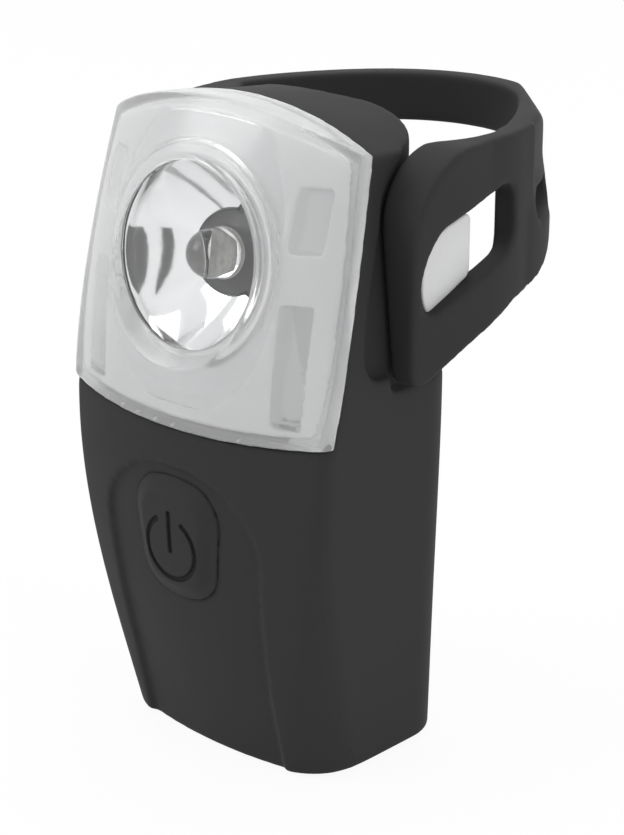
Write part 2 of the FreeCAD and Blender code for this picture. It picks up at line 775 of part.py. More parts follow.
def make_lens():
    """The clear front: a thick-walled cover with a conical dish round the lamp's flat window."""
    proud = size("lens_proud")
    wall = size("lens_wall")
    outer = common("lens_outer", moulded_form(-proud), front_zone("lens_zone"))
    inner = common("lens_inner", moulded_form(wall - proud), front_zone("lens_room", 5, wall))
    rim = size("window_radius")
    ring = size("ring_radius")
    rise = size("ring_depth")
    thick = size("window_thick")
    far = 12.0
    dish = revolved("lens_dish", [
        line((0, 0, 0), (rim, 0, 0)),
        line((rim, 0, 0), (ring, rise, 0)),
        line((ring, rise, 0), (ring, far, 0)),
        line((ring, far, 0), (0, far, 0)),
        line((0, far, 0), (0, 0, 0)),
    ], optical())
    pane = revolved("lens_pane", [
        line((0, 0, 0), (rim, 0, 0)),
        line((rim, 0, 0), (ring, rise, 0)),
        line((ring, rise, 0), (ring + 0.4, rise - thick, 0)),
        line((ring + 0.4, rise - thick, 0), (rim + 0.6, -thick, 0)),
        line((rim + 0.6, -thick, 0), (0, -thick, 0)),
        line((0, -thick, 0), (0, 0, 0)),
    ], optical())
    shell = cut("lens_shell", outer, inner, dish)
    whole = common("lens_trim", fuse("lens_whole", shell, pane), moulded_form(-proud))
    cup = "Sizes.cup_radius + Sizes.cup_wall + Sizes.fit_gap"
    room = optical_cylinder("lens_cup_room", cup, thick + size("fit_gap") / 2, 20)
    publish(cut("lens", whole, room), "lens_cover")


def make_gasket():
    """The seal that the lens is pressed against, along its slanted rear edge and its foot."""
    thick = size("gasket_thick")
    ring = cut("gasket_ring", moulded_form(outer_inset()), moulded_form(inner_inset()))
    zone = cut("gasket_zone", front_zone("gasket_reach", thick, -thick), front_zone("gasket_stop"))
    publish(common("gasket", ring, zone), "lens_gasket")


def make_tray():
    """The pale inner frame behind the lens, with the lamp's cup and the pockets at both sides."""
    form = moulded_form(size("lens_wall") - size("lens_proud") + size("fit_gap"))
    foot = size("lens_wall") + size("fit_gap")
    slab = cut(
        "tray_slab",
        common("tray_outer", form, front_zone("tray_zone", 0, foot)),
        front_zone("tray_front", -size("tray_thick"), 0),
    )
    radius = size("cup_radius")
    outside = radius + size("cup_wall")
    rim = size("bowl_rim_depth")
    foot_depth = size("bowl_foot_depth")
    board = size("led_board_radius") + size("fit_gap")
    board_back = foot_depth + size("led_board_thick")
    floor_back = board_back + 0.6
    cup = revolved("cup", closed([
        (radius, -rim, 0),
        (outside, -rim, 0),
        (outside, -foot_depth - 0.6, 0),
        (board + 0.6, -foot_depth - 0.6, 0),
        (board + 0.6, -floor_back, 0),
        (board - 2.4, -floor_back, 0),
        (board - 2.4, -board_back, 0),
        (board, -board_back, 0),
        (board, -foot_depth, 0),
        (radius, -foot_depth, 0),
    ]), optical())
    windows = []
    for side in (1, -1):
        for number, (low, high) in enumerate(((43.4, 55.5), (60.4, 66.4))):
            windows.append(box(
                f"tray_pocket_{number}_{'right' if side > 0 else 'left'}",
                (min(11.9 * side, 15.0 * side), -40, low),
                (max(11.9 * side, 15.0 * side), 0, high),
            ))
    holed = cut(
        "tray_holed",
        slab,
        optical_cylinder("tray_bore", outside - 0.3, -5, 20),
        optical_cylinder("tray_land", size("ring_radius") + 0.6, -5, rim),
        *windows,
    )
    publish(fuse("tray", holed, cup), "lens_tray")


def make_reflector():
    """The bright bowl behind the window: a turned shell with a flange that sits on the cup's rim."""
    rim = size("bowl_rim_depth")
    foot = size("bowl_foot_depth")
    hole = size("bowl_foot_radius")
    wall = size("bowl_wall")
    edge = size("cup_radius") - 0.15
    flange = size("cup_radius") + size("cup_wall") * 0.8
    front = rim - 0.6
    publish(revolved("reflector", [
        line((hole, -foot, 0), (hole, -foot + wall, 0)),
        arc((hole, -foot + wall, 0), (8.1, -4.2, 0), (edge - 0.6, -front, 0)),
        line((edge - 0.6, -front, 0), (flange, -front, 0)),
        line((flange, -front, 0), (flange, -rim, 0)),
        line((flange, -rim, 0), (edge, -rim, 0)),
        arc((edge, -rim, 0), (8.8, -4.9, 0), (hole + wall, -foot, 0)),
        line((hole + wall, -foot, 0), (hole, -foot, 0)),
    ], optical()), "reflector")


def disc(radius):
    """A circle about the sketch's origin."""
    return [Part.Circle(V(), V(0, 0, 1), radius)]


def make_lamp():
    """The lamp on its round board: base and clear dome."""
    board_front = size("bowl_foot_depth")
    board_back = board_front + size("led_board_thick")
    base_front = board_front - size("led_base_tall")
    board = padded("lamp_board", disc(size("led_board_radius")), "Sizes.led_board_thick", optical(board_back))
    publish(board, "led_board")
    base = padded("lamp_base", disc(size("led_base_radius")), "Sizes.led_base_tall", optical(board_front))
    publish(base, "led_base")
    r = size("led_radius")
    waist = size("led_tall") - r
    dome = revolved("led_dome", [
        line((0, 0, 0), (r, 0, 0)),
        line((r, 0, 0), (r, waist, 0)),
        arc((r, waist, 0), (r * math.sqrt(0.5), waist + r * math.sqrt(0.5), 0), (0, waist + r, 0)),
        line((0, waist + r, 0), (0, 0, 0)),
    ], optical(base_front))
    publish(dome, "led_dome")


def make_pad():
    """The soft button: a shield of the sleeve's skin with a sunk power symbol and a stem behind it."""
    outer = moulded_form(-size("pad_proud"))
    inner = moulded_form(size("pad_thick") - size("pad_proud"))
    skin = cut("pad_skin", common("pad_outer", from_ahead("pad_prism", pad_outline()), outer), inner)
    tip = (0, plunger_front(), size("button_height"))
    rod = cylinder("pad_stem", "Sizes.stem_radius", 10, tip, (0, -1, 0))
    stem = common("pad_stem_trim", rod, moulded_form(0.3))
    sunk = cut("pad_sunk", fuse("pad_whole", skin, stem), symbol())
    publish(sunk, "button_pad")


def symbol():
    """The power sign's cutter: an open ring and an upright bar, as deep as its floor in the skin."""
    r = size("symbol_radius")
    half = size("symbol_line") / 2
    z = size("symbol_height")
    gap = math.radians(32)
    def at(radius, angle):
        return (radius * math.sin(angle), z + radius * math.cos(angle), 0)
    ring = [
        arc(at(r + half, gap), at(r + half, math.pi), at(r + half, -gap)),
        line(at(r + half, -gap), at(r - half, -gap)),
        arc(at(r - half, -gap), at(r - half, math.pi), at(r - half, gap)),
        line(at(r - half, gap), at(r + half, gap)),
    ]
    bar = closed([
        (-half, z, 0),
        (half, z, 0),
        (half, z + r * 1.2, 0),
        (-half, z + r * 1.2, 0),
    ])
    both = fuse("symbol_both", from_ahead("symbol_ring", ring), from_ahead("symbol_bar", bar))
    return cut("symbol", both, moulded_form(size("symbol_depth") - size("pad_proud")))


def plunger_front():
    """The plane where the pad's stem meets the switch's plunger."""
    return size("circuit_back") - size("circuit_thick") - size("switch_tall") - 1.6


def make_switch():
    """The push switch on the board, and the plunger that the button's stem works."""
    board_front = size("circuit_back") - size("circuit_thick")
    half = size("switch_width") / 2
    z = size("button_height")
    tall = size("switch_tall")
    case = padded("switch_case", closed([
        (-half, -half, 0),
        (half, -half, 0),
        (half, half, 0),
        (-half, half, 0),
    ]), "Sizes.switch_tall", facing_front(board_front, z))
    floor = (0, board_front - 0.9, z)
    wide = "Sizes.plunger_radius + Sizes.move_gap"
    well = cylinder("switch_well", wide, "Sizes.switch_tall", floor, (0, -1, 0))
    publish(cut("switch", case, well), "switch_base")
    rear = board_front - tall + size("button_travel") + 0.4
    rod = padded("plunger", disc(size("plunger_radius")), rear - plunger_front(), facing_front(rear, z))
    publish(rod, "switch_plunger")


def facing_front(y, z, x=0.0):
    """A place whose own Z points out of the light's front."""
    return Place(V(x, y, z), Turn(V(1, 0, 0), V(0, 0, 1), V(0, -1, 0), "ZXY"))


def make_capsule():
    """The hard shell within the sleeve, open at the lens and at the foot, with rails and screw bosses."""
    thick = size("gasket_thick")
    foot = size("cap_height")
    hollow = moulded_form(inner_inset())
    shell = cut(
        "capsule_shell",
        moulded_form(outer_inset()),
        hollow,
        front_zone("capsule_mouth", thick, -thick),
    )
    back = size("circuit_back")
    rail_top = size("circuit_foot") + size("circuit_tall") + 1
    rail = size("circuit_half") - 1.0
    rail_deep = 1.1
    boss_tall = 7
    stays = [
        box(f"rail_{n}", (low, back, foot), (high, back + rail_deep, rail_top))
        for n, (low, high) in enumerate(((rail, rail + 6), (-rail - 6, -rail)))
    ]
    stays += [
        cylinder(f"boss_{n}", "Sizes.boss_radius", boss_tall, (*spot, foot))
        for n, spot in enumerate(screw_spots())
    ]
    inside = common("stays", fuse("stays_all", *stays), moulded_form(outer_inset()))
    pilots = [
        cylinder(f"pilot_{n}", "Sizes.screw_radius + 0.05", boss_tall - 1, (*spot, foot - 1))
        for n, spot in enumerate(screw_spots())
    ]
    tip = (0, -14, size("button_height"))
    stem_hole = cylinder("stem_hole", "Sizes.stem_radius + Sizes.move_gap", 12, tip, (0, -1, 0))
    whole = fuse("capsule_whole", cut("capsule_foot", shell, band_box("below_capsule", -20, foot)), inside)
    publish(cut("capsule", whole, stem_hole, *pilots), "inner_housing")


def screw_spots():
    """Where both screws stand, in plan."""
    half = size("screw_half_gap")
    return [(half, size("screw_back")), (-half, size("screw_back"))]


def make_cap():
    """The capsule's foot: a flat-floored cup with two screw bosses and a groove for its seal."""
    foot = size("cap_height")
    floor = size("cap_floor")
    outer = common("cap_outer", moulded_form(outer_inset()), band_box("cap_band", -20, foot))
    room = common("cap_room", moulded_form(inner_inset()), band_box("cap_above_floor", floor, THROUGH))
    pillars = [
        cylinder(f"cap_boss_{n}", "Sizes.boss_radius", foot - 2, (*spot, 2))
        for n, spot in enumerate(screw_spots())
    ]
    bosses = common("cap_bosses", fuse("cap_boss_pair", *pillars), moulded_form(outer_inset()))
    cup = fuse("cap_whole", cut("cap_shell", outer, room), bosses)
    holes = []
    deep = 20
    for n, spot in enumerate(screw_spots()):
        holes.append(cylinder(f"cap_hole_{n}", "Sizes.screw_radius + Sizes.fit_gap", deep, (*spot, 0)))
        sink = (*spot, SCREW_SEAT - deep)
        holes.append(cylinder(f"cap_sink_{n}", "Sizes.screw_head_radius + Sizes.fit_gap", deep, sink))
    publish(cut("cap", cup, *holes, seal_ring("cap_groove")), "end_cap")
    publish(seal_ring("seal"), "cap_seal")
    for n, spot in enumerate(screw_spots(), start=1):
        make_screw(n, *spot)


def seal_ring(name):
    """The square ring let into the cap's upper edge."""
    wide = size("seal_width")
    first = outer_inset() + (size("capsule_wall") - wide) / 2
    foot = size("cap_height")
    ring = cut(f"{name}_ring", moulded_form(first), moulded_form(first + wide))
    return common(name, ring, band_box(f"{name}_band", foot - wide, foot))


def make_screw(number, x, y):
    """A pan-headed screw, its head seated in the cap's boss and its shank in the capsule's."""
    shank = size("screw_radius")
    head = size("screw_head_radius")
    publish(revolved(f"screw_{number}", [
        line((0, -1.2, 0), (head - 0.5, -1.2, 0)),
        arc((head - 0.5, -1.2, 0), (head - 0.15, -1.05, 0), (head, -0.7, 0)),
        line((head, -0.7, 0), (head, 0, 0)),
        line((head, 0, 0), (shank, 0, 0)),
        line((shank, 0, 0), (shank, size("screw_length") - shank, 0)),
        line((shank, size("screw_length") - shank, 0), (0, size("screw_length"), 0)),
        line((0, size("screw_length"), 0), (0, -1.2, 0)),
    ], Place(V(x, y, SCREW_SEAT), Turn())), f"cap_screw_{number}")


def make_circuit():
    """The circuit board that stands on the capsule's rails, with its driver chip."""
    half = size("circuit_half")
    back = size("circuit_back")
    foot = size("circuit_foot")
    tall = size("circuit_tall")
    board = padded("board", closed([
        (-half, 0, 0),
        (half, 0, 0),
        (half, tall, 0),
        (-half, tall, 0),
    ]), "Sizes.circuit_thick", facing_front(back, foot))
    publish(board, "circuit_board")
    wide = size("chip_width")
    chip = padded("chip", closed([
        (-wide / 2, 0, 0),
        (wide / 2, 0, 0),
        (wide / 2, wide, 0),
        (-wide / 2, wide, 0),
    ]), "Sizes.chip_tall", facing_front(back - size("circuit_thick"), foot + 3, -6.5))
    publish(chip, "driver_chip")


def make_cells():
    """Two cells side by side in an open holder, with a contact plate under both and one over each."""
    r = size("cell_radius")
    reach = r + size("cell_gap") / 2
    y = size("cell_back")
    floor = size("cap_floor")
    plate = size("holder_plate")
    leaf = size("contact_thick")
    low = floor + plate + leaf
    high = low + size("cell_length")
    room = size("move_gap") / 2
    outside = reach + r + 1.1
    frame = box("holder_block", (-outside, y - 3.2, floor), (outside, y + r + 1.5, high + leaf + plate))
    bores = [
        cylinder(f"holder_bore_{n}", r + room, high + leaf - floor - plate, (x, y, floor + plate))
        for n, x in enumerate((reach, -reach))
    ]
    waist = box("holder_waist", (-reach, y - 9, floor + plate), (reach, y + 9, high + leaf))
    clear = [
        cylinder(f"holder_relief_{n}", "Sizes.boss_radius + Sizes.move_gap / 2", THROUGH, (*spot, 0))
        for n, spot in enumerate(screw_spots())
    ]
    fitted = common("holder_fit", frame, moulded_form(inner_inset() + room))
    body = cut("holder_cut", fitted, *bores, *clear, waist)
    publish(body, "cell_holder")
    publish(contact("contact_low", reach + 3.6, 0, y, low - leaf), "contact_lower")
    for n, x in enumerate((-reach, reach), start=1):
        nub = size("cell_nub_radius")
        can = size("cell_length") - size("cell_nub_tall")
        publish(revolved(f"cell_{n}", closed([
            (0, 0, 0),
            (r - 0.4, 0, 0),
            (r, 0.4, 0),
            (r, can - 0.4, 0),
            (r - 0.4, can, 0),
            (nub, can, 0),
            (nub, size("cell_length"), 0),
            (0, size("cell_length"), 0),
        ]), Place(V(x, y, low), Turn())), f"cell_{n}")
        publish(contact(f"contact_top_{n}", 3.6, x, y, high), f"contact_upper_{n}")


def contact(name, half, x, y, z):
    """A flat contact leaf with round ends."""
    leaf = padded(name, stadium(half * 2, 5.6), "Sizes.contact_thick")
    leaf.Placement = Place(V(x, y, z), Turn())
    return leaf


def check_and_write():
    """Stops if anything failed, then writes each sub-part."""
    doc.recompute()
    for obj in doc.Objects:
        if {"Invalid", "Error"} & set(obj.State):
            raise RuntimeError(f"{obj.Name} failed: {obj.State}")
    os.makedirs("parts", exist_ok=True)
    for node in NODES:
        shape = node.Shape
        if shape.isNull() or not shape.isValid() or not shape.Solids:
            raise RuntimeError(f"{node.Label} has no sound solid")
    for node in NODES:
        shape = node.Shape
        print(f"{node.Label}: {len(shape.Solids)} solids, {shape.Volume:.1f} mm3")
        shape.exportStep(f"parts/{node.Label}.step")


make_sleeve()
make_strap_loop()
make_strap_tab()
make_hook()
make_pad()
make_lens()
make_gasket()
make_tray()
make_reflector()
make_lamp()
make_capsule()
make_cap()
make_circuit()
make_switch()
make_cells()
check_and_write()
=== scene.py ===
"""Silicone-clad bicycle light: rubber skin and strap, lens, lamp, hook and studio, round its solid model."""

import math

import bpy
import numpy
from bpy.props import FloatProperty, FloatVectorProperty, IntProperty, PointerProperty
from mathutils import Matrix, Vector
from mathutils.kdtree import KDTree


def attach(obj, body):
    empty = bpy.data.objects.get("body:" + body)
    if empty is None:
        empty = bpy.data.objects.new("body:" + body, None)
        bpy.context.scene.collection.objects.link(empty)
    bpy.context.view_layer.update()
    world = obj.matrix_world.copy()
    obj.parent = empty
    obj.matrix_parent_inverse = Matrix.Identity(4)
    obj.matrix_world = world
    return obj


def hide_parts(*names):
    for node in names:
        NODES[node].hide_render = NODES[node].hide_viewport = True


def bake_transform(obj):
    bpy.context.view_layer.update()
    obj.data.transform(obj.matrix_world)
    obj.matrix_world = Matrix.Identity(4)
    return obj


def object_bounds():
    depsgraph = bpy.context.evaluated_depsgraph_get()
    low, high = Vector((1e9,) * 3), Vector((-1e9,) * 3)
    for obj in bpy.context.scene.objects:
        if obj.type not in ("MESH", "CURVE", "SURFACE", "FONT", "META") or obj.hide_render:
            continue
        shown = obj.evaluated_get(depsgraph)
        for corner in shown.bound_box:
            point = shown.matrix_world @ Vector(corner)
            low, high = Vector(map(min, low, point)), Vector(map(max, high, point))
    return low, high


bl_info = {
    "name": "Bicycle light",
    "version": (1, 0, 0),
    "blender": (4, 5, 0),
    "location": "3D View > Sidebar > Bicycle light",
    "description": "Models the light's rubber, lens and lamp round its solid model",
    "category": "Object",
}

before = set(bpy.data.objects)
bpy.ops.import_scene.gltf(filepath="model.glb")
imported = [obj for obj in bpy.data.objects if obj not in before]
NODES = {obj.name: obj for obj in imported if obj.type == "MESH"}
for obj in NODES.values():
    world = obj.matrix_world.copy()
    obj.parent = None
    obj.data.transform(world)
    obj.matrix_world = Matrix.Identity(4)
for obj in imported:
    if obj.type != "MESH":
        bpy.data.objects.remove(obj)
CAD_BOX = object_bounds()

MM = 0.001
# Where the row frame's origin lies when the light is measured from the middle of its base.
POST_AXIS = Vector((0.0, 14.6, 67.9))

# Places are in millimetres from the middle of the base, and angles in degrees, unless a comment says else.
# The strap: its two hinges, the turn of its tab, and its levels.
ROOT_PIN = (-19.4, 8.4)
TAB_PIN = (20.0, 11.0)
TAB_TURN = 16.0
STRAP_THICK = 2.9
STRAP_TOP = 70.3
STRAP_ROOT_LOW = 58.0
# Across this X, behind the post, the sleeve's half of the strap meets the other half. Each half is cut
# with some to spare before its skin is made, and the sleeve's half then laps the other a little. Only
# what is behind the last Y is cut.
STRAP_SEAM = -11.0
SEAM_SPARE = 4.0
SEAM_LAP = 0.15
SEAM_FRONT = 16.0
# Blocks that carry the rubber across the strap's two hinges: place along the tab and lowest level.
TAB_BRIDGES = ((-1.6, 51.8), (0.0, 52.0), (1.5, 53.2))
TAB_BRIDGE_LONG = 1.7
ROOT_BRIDGE_LONG = 2.4
# Where the strap's rear edge is sliced off: its azimuth, its distance out and the slope of the cut.
EDGE_AZIMUTH = 43.0
EDGE_OUT = 25.2
EDGE_SLOPE = (3.8, 1.36)
# The rubber's band behind the post, round the post's axis: its radii, its levels and where its ends are.
BAND_RADII = (13.7, 16.6)
BAND_LEVELS = (64.4, 66.6)
BAND_FRONT = 22.8
# The second slot's mouth, which way it faces, and how far its front end is drawn out along the strap.
SLOT_MOUTH = (16.8, 19.7, 60.8)
SLOT_TURN = 32.0
SLOT_RADIUS = 1.8
SLOT_REACH = (1.9, 2.8, 3.7, 4.7)
# The mould's parting line down each flank: its foremost place and how fast it bends back.
PARTING_FRONT = (0.0, -18.0, 39.0)
PARTING_BEND = 0.00596

# The button's pad: how its solid is spread and how proud it stands. Ahead of the skin's back, a rim of
# this width is sunk by the one depth at its face and by the other underneath.
PAD_MIDDLE = (0.0, -21.0, 27.1)
PAD_SPREAD = (1.18, 1.0, 1.12)
PAD_PROUD = 0.25
PAD_SKIN_BACK = -19.0
PAD_RIM = 2.2
PAD_SINK = (0.85, 0.45)
# The power sign on it, an open ring and an upright bar, ahead of the front's Y and clear of the rim.
SYMBOL_HEIGHT = 26.1
SYMBOL_RADIUS = 3.6
SYMBOL_HALF_LINE = 0.3
SYMBOL_GAP = 1.9
SYMBOL_BAR = (-0.3, 4.1)
SYMBOL_DEPTH = 0.34
SYMBOL_FRONT = -19.5
SYMBOL_CLEAR = 5.1
# The solid's own sign is healed in full up to the first distance from its lines and fades out over the
# second. The face is read between the first and the third.
HEAL_FULL = 1.1
HEAL_FADE = 0.9
HEAL_REACH = 2.4

# The lens's window, and the tray behind the lens: how it is spread and pushed against the lens.
WINDOW = (0.0, -18.7, 58.2)
WINDOW_TILT = 8.0
TRAY_MIDDLE = (0.0, -15.0, 66.0)
TRAY_SPREAD = (1.02, 1.0, 1.06)
TRAY_PUSH = 0.2
# The floors of the right pockets in the tray: middle, size, turn and tilt. The left ones are mirrored.
POCKET_FLOORS = (
    ((13.6, -13.1, 49.9), (5.6, 1.6, 12.8), 38.0, -8.5),
    ((13.6, -11.4, 63.4), (5.0, 1.6, 8.0), 24.0, -15.0),
)
# Where the lower pockets get painted shade, a darker copy of the tray's colour: from side to side, from level
# to level, and behind this Y.
POCKET_SIDES = (11.7, 15.2)
POCKET_LEVELS = (42.0, 57.0)
POCKET_FRONT = -14.9
HOOK_MIDDLE = (19.0, -4.4, 62.9)
HOOK_SPREAD = (1.0, 1.08, 1.2)

# The bowl's curve, and the lamp in it, as depths behind the window's face.
BOWL_RIM = 10.0
BOWL_FOOT = 4.4
BOWL_DEPTHS = (1.45, 6.45)
BOWL_POINTS = 14
CHIP_SIZE = (2.5, 2.5, 0.3)
CHIP_DEPTH = 5.65
# Within this distance of its middle the lamp's base is pale.
BASE_DEPTH = 6.0
BASE_PALE = 2.9
DOME_RADIUS = 2.65
DOME_WAIST = -4.35

# What the camera looks at, and the lights in metres and watts: name, place in the frame, width and power.
TARGET = (0.66, 0.0, 35.6)
LIGHTS = (
    ("top_light", (-0.1, 0.1, 0.75), 0.7, 2.9),
    ("left_light", (-0.5, -0.6, 0.45), 0.5, 2.5),
    ("right_light", (0.75, -0.1, 0.4), 0.5, 1.7),
)
# The dark cards that the bowl mirrors: azimuth seen from the light and width, then what all share, in metres.
CARDS = ((62, 0.12), (30, 0.022))
CARD_ELEVATION = 10.0
CARD_DISTANCE = 0.17
CARD_TALL = 0.33


def mm(x, y, z):
    """A place measured in millimetres from the middle of the light's base, as a point of the frame."""
    return (Vector((x, y, z)) - POST_AXIS) * MM


def lamp_axis(depth=0.0):
    """A place on the lamp's axis, its Z out of the window, so many millimetres behind the window's face."""
    turn = Matrix.Rotation(math.radians(90 - WINDOW_TILT), 4, "X")
    return Matrix.Translation(mm(*WINDOW)) @ turn @ Matrix.Translation((0, 0, -depth * MM))


def eased(share):
    """A share from none to all that sets out and arrives softly."""
    return share * share * (3 - 2 * share)


def deselect():
    bpy.ops.object.select_all(action="DESELECT")


def take(obj):
    """Makes one object the only selected and the active one."""
    deselect()
    obj.select_set(True)
    bpy.context.view_layer.objects.active = obj
    return obj


def edit(obj, select="SELECT"):
    take(obj)
    bpy.ops.object.mode_set(mode="EDIT")
    bpy.ops.mesh.select_all(action=select)


def leave():
    bpy.ops.object.mode_set(mode="OBJECT")


def settle():
    """Puts the active object's place into its mesh."""
    bpy.ops.object.transform_apply(location=True, rotation=True, scale=True)
    return bpy.context.object


def spread(obj, growth, middle):
    """Scales a whole piece about a place, and leaves it in edit mode."""
    edit(obj)
    bpy.ops.transform.resize(value=growth, center_override=mm(*middle))


def finish_with(obj, kind, **settings):
    """Adds one modifier and applies it."""
    take(obj)
    modifier = obj.modifiers.new(kind.title(), kind)
    for key, value in settings.items():
        setattr(modifier, key, value)
    bpy.ops.object.modifier_apply(modifier=modifier.name)
    return obj


def copied(name, node):
    """A copy of a solid's mesh with its doubles merged."""
    obj = bpy.data.objects.new(name, NODES[node].data.copy())
    bpy.context.scene.collection.objects.link(obj)
    obj.data.materials.clear()
    edit(obj)
    bpy.ops.mesh.remove_doubles(threshold=0.002 * MM)
    leave()
    return obj


def joined(obj, *others):
    take(obj)
    for other in others:
        other.select_set(True)
    bpy.ops.object.join()
    return obj


def block(name, centre, size, turn=0.0, tilt=0.0):
    """A block that fills a gap in a skin, centred in millimetres, tilted about X and turned about Z."""
    deselect()
    angles = (math.radians(tilt), 0, math.radians(turn))
    bpy.ops.mesh.primitive_cube_add(size=1, location=mm(*centre), rotation=angles)
    obj = bpy.context.object
    obj.name = name
    obj.scale = Vector(size) * MM
    return settle()


def select_where(obj, test):
    """Selects, in edit mode, the faces that pass the test."""
    leave()
    for part in (obj.data.vertices, obj.data.edges):
        part.foreach_set("select", [False] * len(part))
    for polygon in obj.data.polygons:
        polygon.select = test(polygon)
    bpy.ops.object.mode_set(mode="EDIT")


def sliced(obj, place, beyond, test=None):
    """Cuts off what lies beyond a plane, closes the cut and leaves its rim sharp."""
    edit(obj)
    if test:
        bpy.ops.mesh.select_mode(type="FACE")
        select_where(obj, test)
    bpy.ops.mesh.bisect(plane_co=place, plane_no=beyond, use_fill=True, clear_outer=True)
    bpy.ops.mesh.select_mode(type="VERT")
    leave()
    bpy.ops.object.shade_smooth_by_angle(angle=math.radians(55))
    return obj


def trimmed(obj, x, keep, test=None):
    """Keeps the low or the high side of a plane across X."""
    return sliced(obj, mm(x, 0, 0), (1 if keep == "low" else -1, 0, 0), test)


def drilled(obj, radius, place, turn):
    """Takes a round hole, level and turned about Z, out of a piece."""
    deselect()
    bpy.ops.mesh.primitive_cylinder_add(
        vertices=48,
        radius=radius * MM,
        depth=14 * MM,
        location=mm(*place),
        rotation=(0, math.pi / 2, math.radians(turn)),
    )
    tool = bpy.context.object
    finish_with(obj, "BOOLEAN", operation="DIFFERENCE", object=tool, solver="EXACT")
    bpy.data.objects.remove(tool)


def lower_band(x, keep):
    """The foot of the band behind the post, on one side of a plane across X."""
    near, far = BAND_RADII
    low, high = BAND_LEVELS
    section = [(near, low), (far, low), (far, high), (near, high), (near, low)]
    band = turned("lower_band", section, Matrix.Translation(mm(0, POST_AXIS.y, 0)), 128)
    sliced(band, mm(0, BAND_FRONT, 0), (0, -1, 0))
    return trimmed(band, x, keep)


def skinned(obj, grid, softness, keep=1.0):
    """One closed skin round all that a piece holds, with its edges melted and its flats thinned out."""
    finish_with(obj, "REMESH", mode="VOXEL", voxel_size=grid, use_smooth_shade=True)
    finish_with(obj, "SMOOTH", factor=0.5, iterations=softness)
    if keep < 1.0:
        finish_with(obj, "DECIMATE", ratio=keep)
    take(obj)
    bpy.ops.object.shade_smooth()
    return obj


def turned(name, profile, place, steps=96, angle=40.0):
    """A piece of revolution: vertices extruded from point to point, then spun about the place's Z."""
    deselect()
    bpy.ops.mesh.primitive_plane_add(size=MM)
    obj = bpy.context.object
    obj.name = name
    bpy.ops.object.mode_set(mode="EDIT")
    bpy.ops.mesh.select_all(action="SELECT")
    bpy.ops.mesh.merge(type="CENTER")
    points = [Vector((radius, 0, height)) * MM for radius, height in profile]
    bpy.ops.transform.translate(value=points[0])
    for start, end in zip(points, points[1:]):
        bpy.ops.mesh.extrude_vertices_move(TRANSFORM_OT_translate={"value": end - start})
    bpy.ops.mesh.select_all(action="SELECT")
    bpy.ops.mesh.spin(steps=steps, angle=math.tau, center=(0, 0, 0), axis=(0, 0, 1))
    bpy.ops.mesh.select_all(action="SELECT")
    bpy.ops.mesh.remove_doubles(threshold=0.002 * MM)
    bpy.ops.mesh.normals_make_consistent(inside=False)
    leave()
    obj.matrix_world = place
    settle()
    bpy.ops.object.shade_smooth_by_angle(angle=math.radians(angle))
    return obj


def arc_points(centre, radius, start, end, steps):
    """Points of an arc in a section, with its angles in degrees from the outward direction."""
    angles = [math.radians(start + (end - start) * n / steps) for n in range(steps + 1)]
    return [(centre[0] + radius * math.cos(a), centre[1] + radius * math.sin(a)) for a in angles]


def dressed(obj, material, slot, body=None, *replaced):
    """Gives a piece its material, its body and the solids it stands for; its slot is not used."""
    obj.data.materials.clear()
    obj.data.materials.append(material)
    if body:
        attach(obj, body)
    if replaced:
        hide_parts(*replaced)
    return obj


def added(tree, kind, **values):
    """A shader node with its settings, and its sockets by name with underscores for spaces."""
    new = tree.nodes.new(kind)
    for key, value in values.items():
        socket = new.inputs.get(key.replace("_", " "))
        if socket is None:
            setattr(new, key, value)
        else:
            socket.default_value = value
    return new


def surface(name):
    """A new material with a main shader wired to its output."""
    material = bpy.data.materials.new(name)
    material.use_nodes = True
    tree = material.node_tree
    tree.nodes.clear()
    shader = added(tree, "ShaderNodeBsdfPrincipled")
    output = added(tree, "ShaderNodeOutputMaterial")
    tree.links.new(shader.outputs["BSDF"], output.inputs["Surface"])
    return material, tree, shader


def cloud(tree, grain, detail=3.0):
    """Noise over the object's own coordinates, with its grain in millimetres."""
    place = added(tree, "ShaderNodeTexCoord")
    noise = added(tree, "ShaderNodeTexNoise", Scale=1 / (grain * MM), Detail=detail, Roughness=0.55)
    tree.links.new(place.outputs["Object"], noise.inputs["Vector"])
    return noise


def moulded(name, colour, roughness, grain=0.5, relief=0.01, mottle=0.06, patch=6.0, **sockets):
    """A moulded finish: colour and gloss that drift a little, and a fine grain of real height."""
    material, tree, shader = surface(name)
    for key, value in sockets.items():
        shader.inputs[key.replace("_", " ")].default_value = value
    drift = cloud(tree, patch)
    tint = added(tree, "ShaderNodeMix", data_type="RGBA")
    tint.inputs["A"].default_value = (*[c * (1 - mottle) for c in colour], 1)
    tint.inputs["B"].default_value = (*[min(c * (1 + mottle), 1) for c in colour], 1)
    gloss = added(tree, "ShaderNodeMapRange", To_Min=roughness * 0.9, To_Max=min(roughness * 1.12, 1))
    fine = cloud(tree, grain, 4.0)
    bump = added(tree, "ShaderNodeBump", Strength=0.6, Distance=relief * MM)
    tree.links.new(drift.outputs["Fac"], tint.inputs["Factor"])
    tree.links.new(drift.outputs["Fac"], gloss.inputs["Value"])
    tree.links.new(fine.outputs["Fac"], bump.inputs["Height"])
    tree.links.new(tint.outputs["Result"], shader.inputs["Base Color"])
    tree.links.new(gloss.outputs["Result"], shader.inputs["Roughness"])
    tree.links.new(bump.outputs["Normal"], shader.inputs["Normal"])
    return material


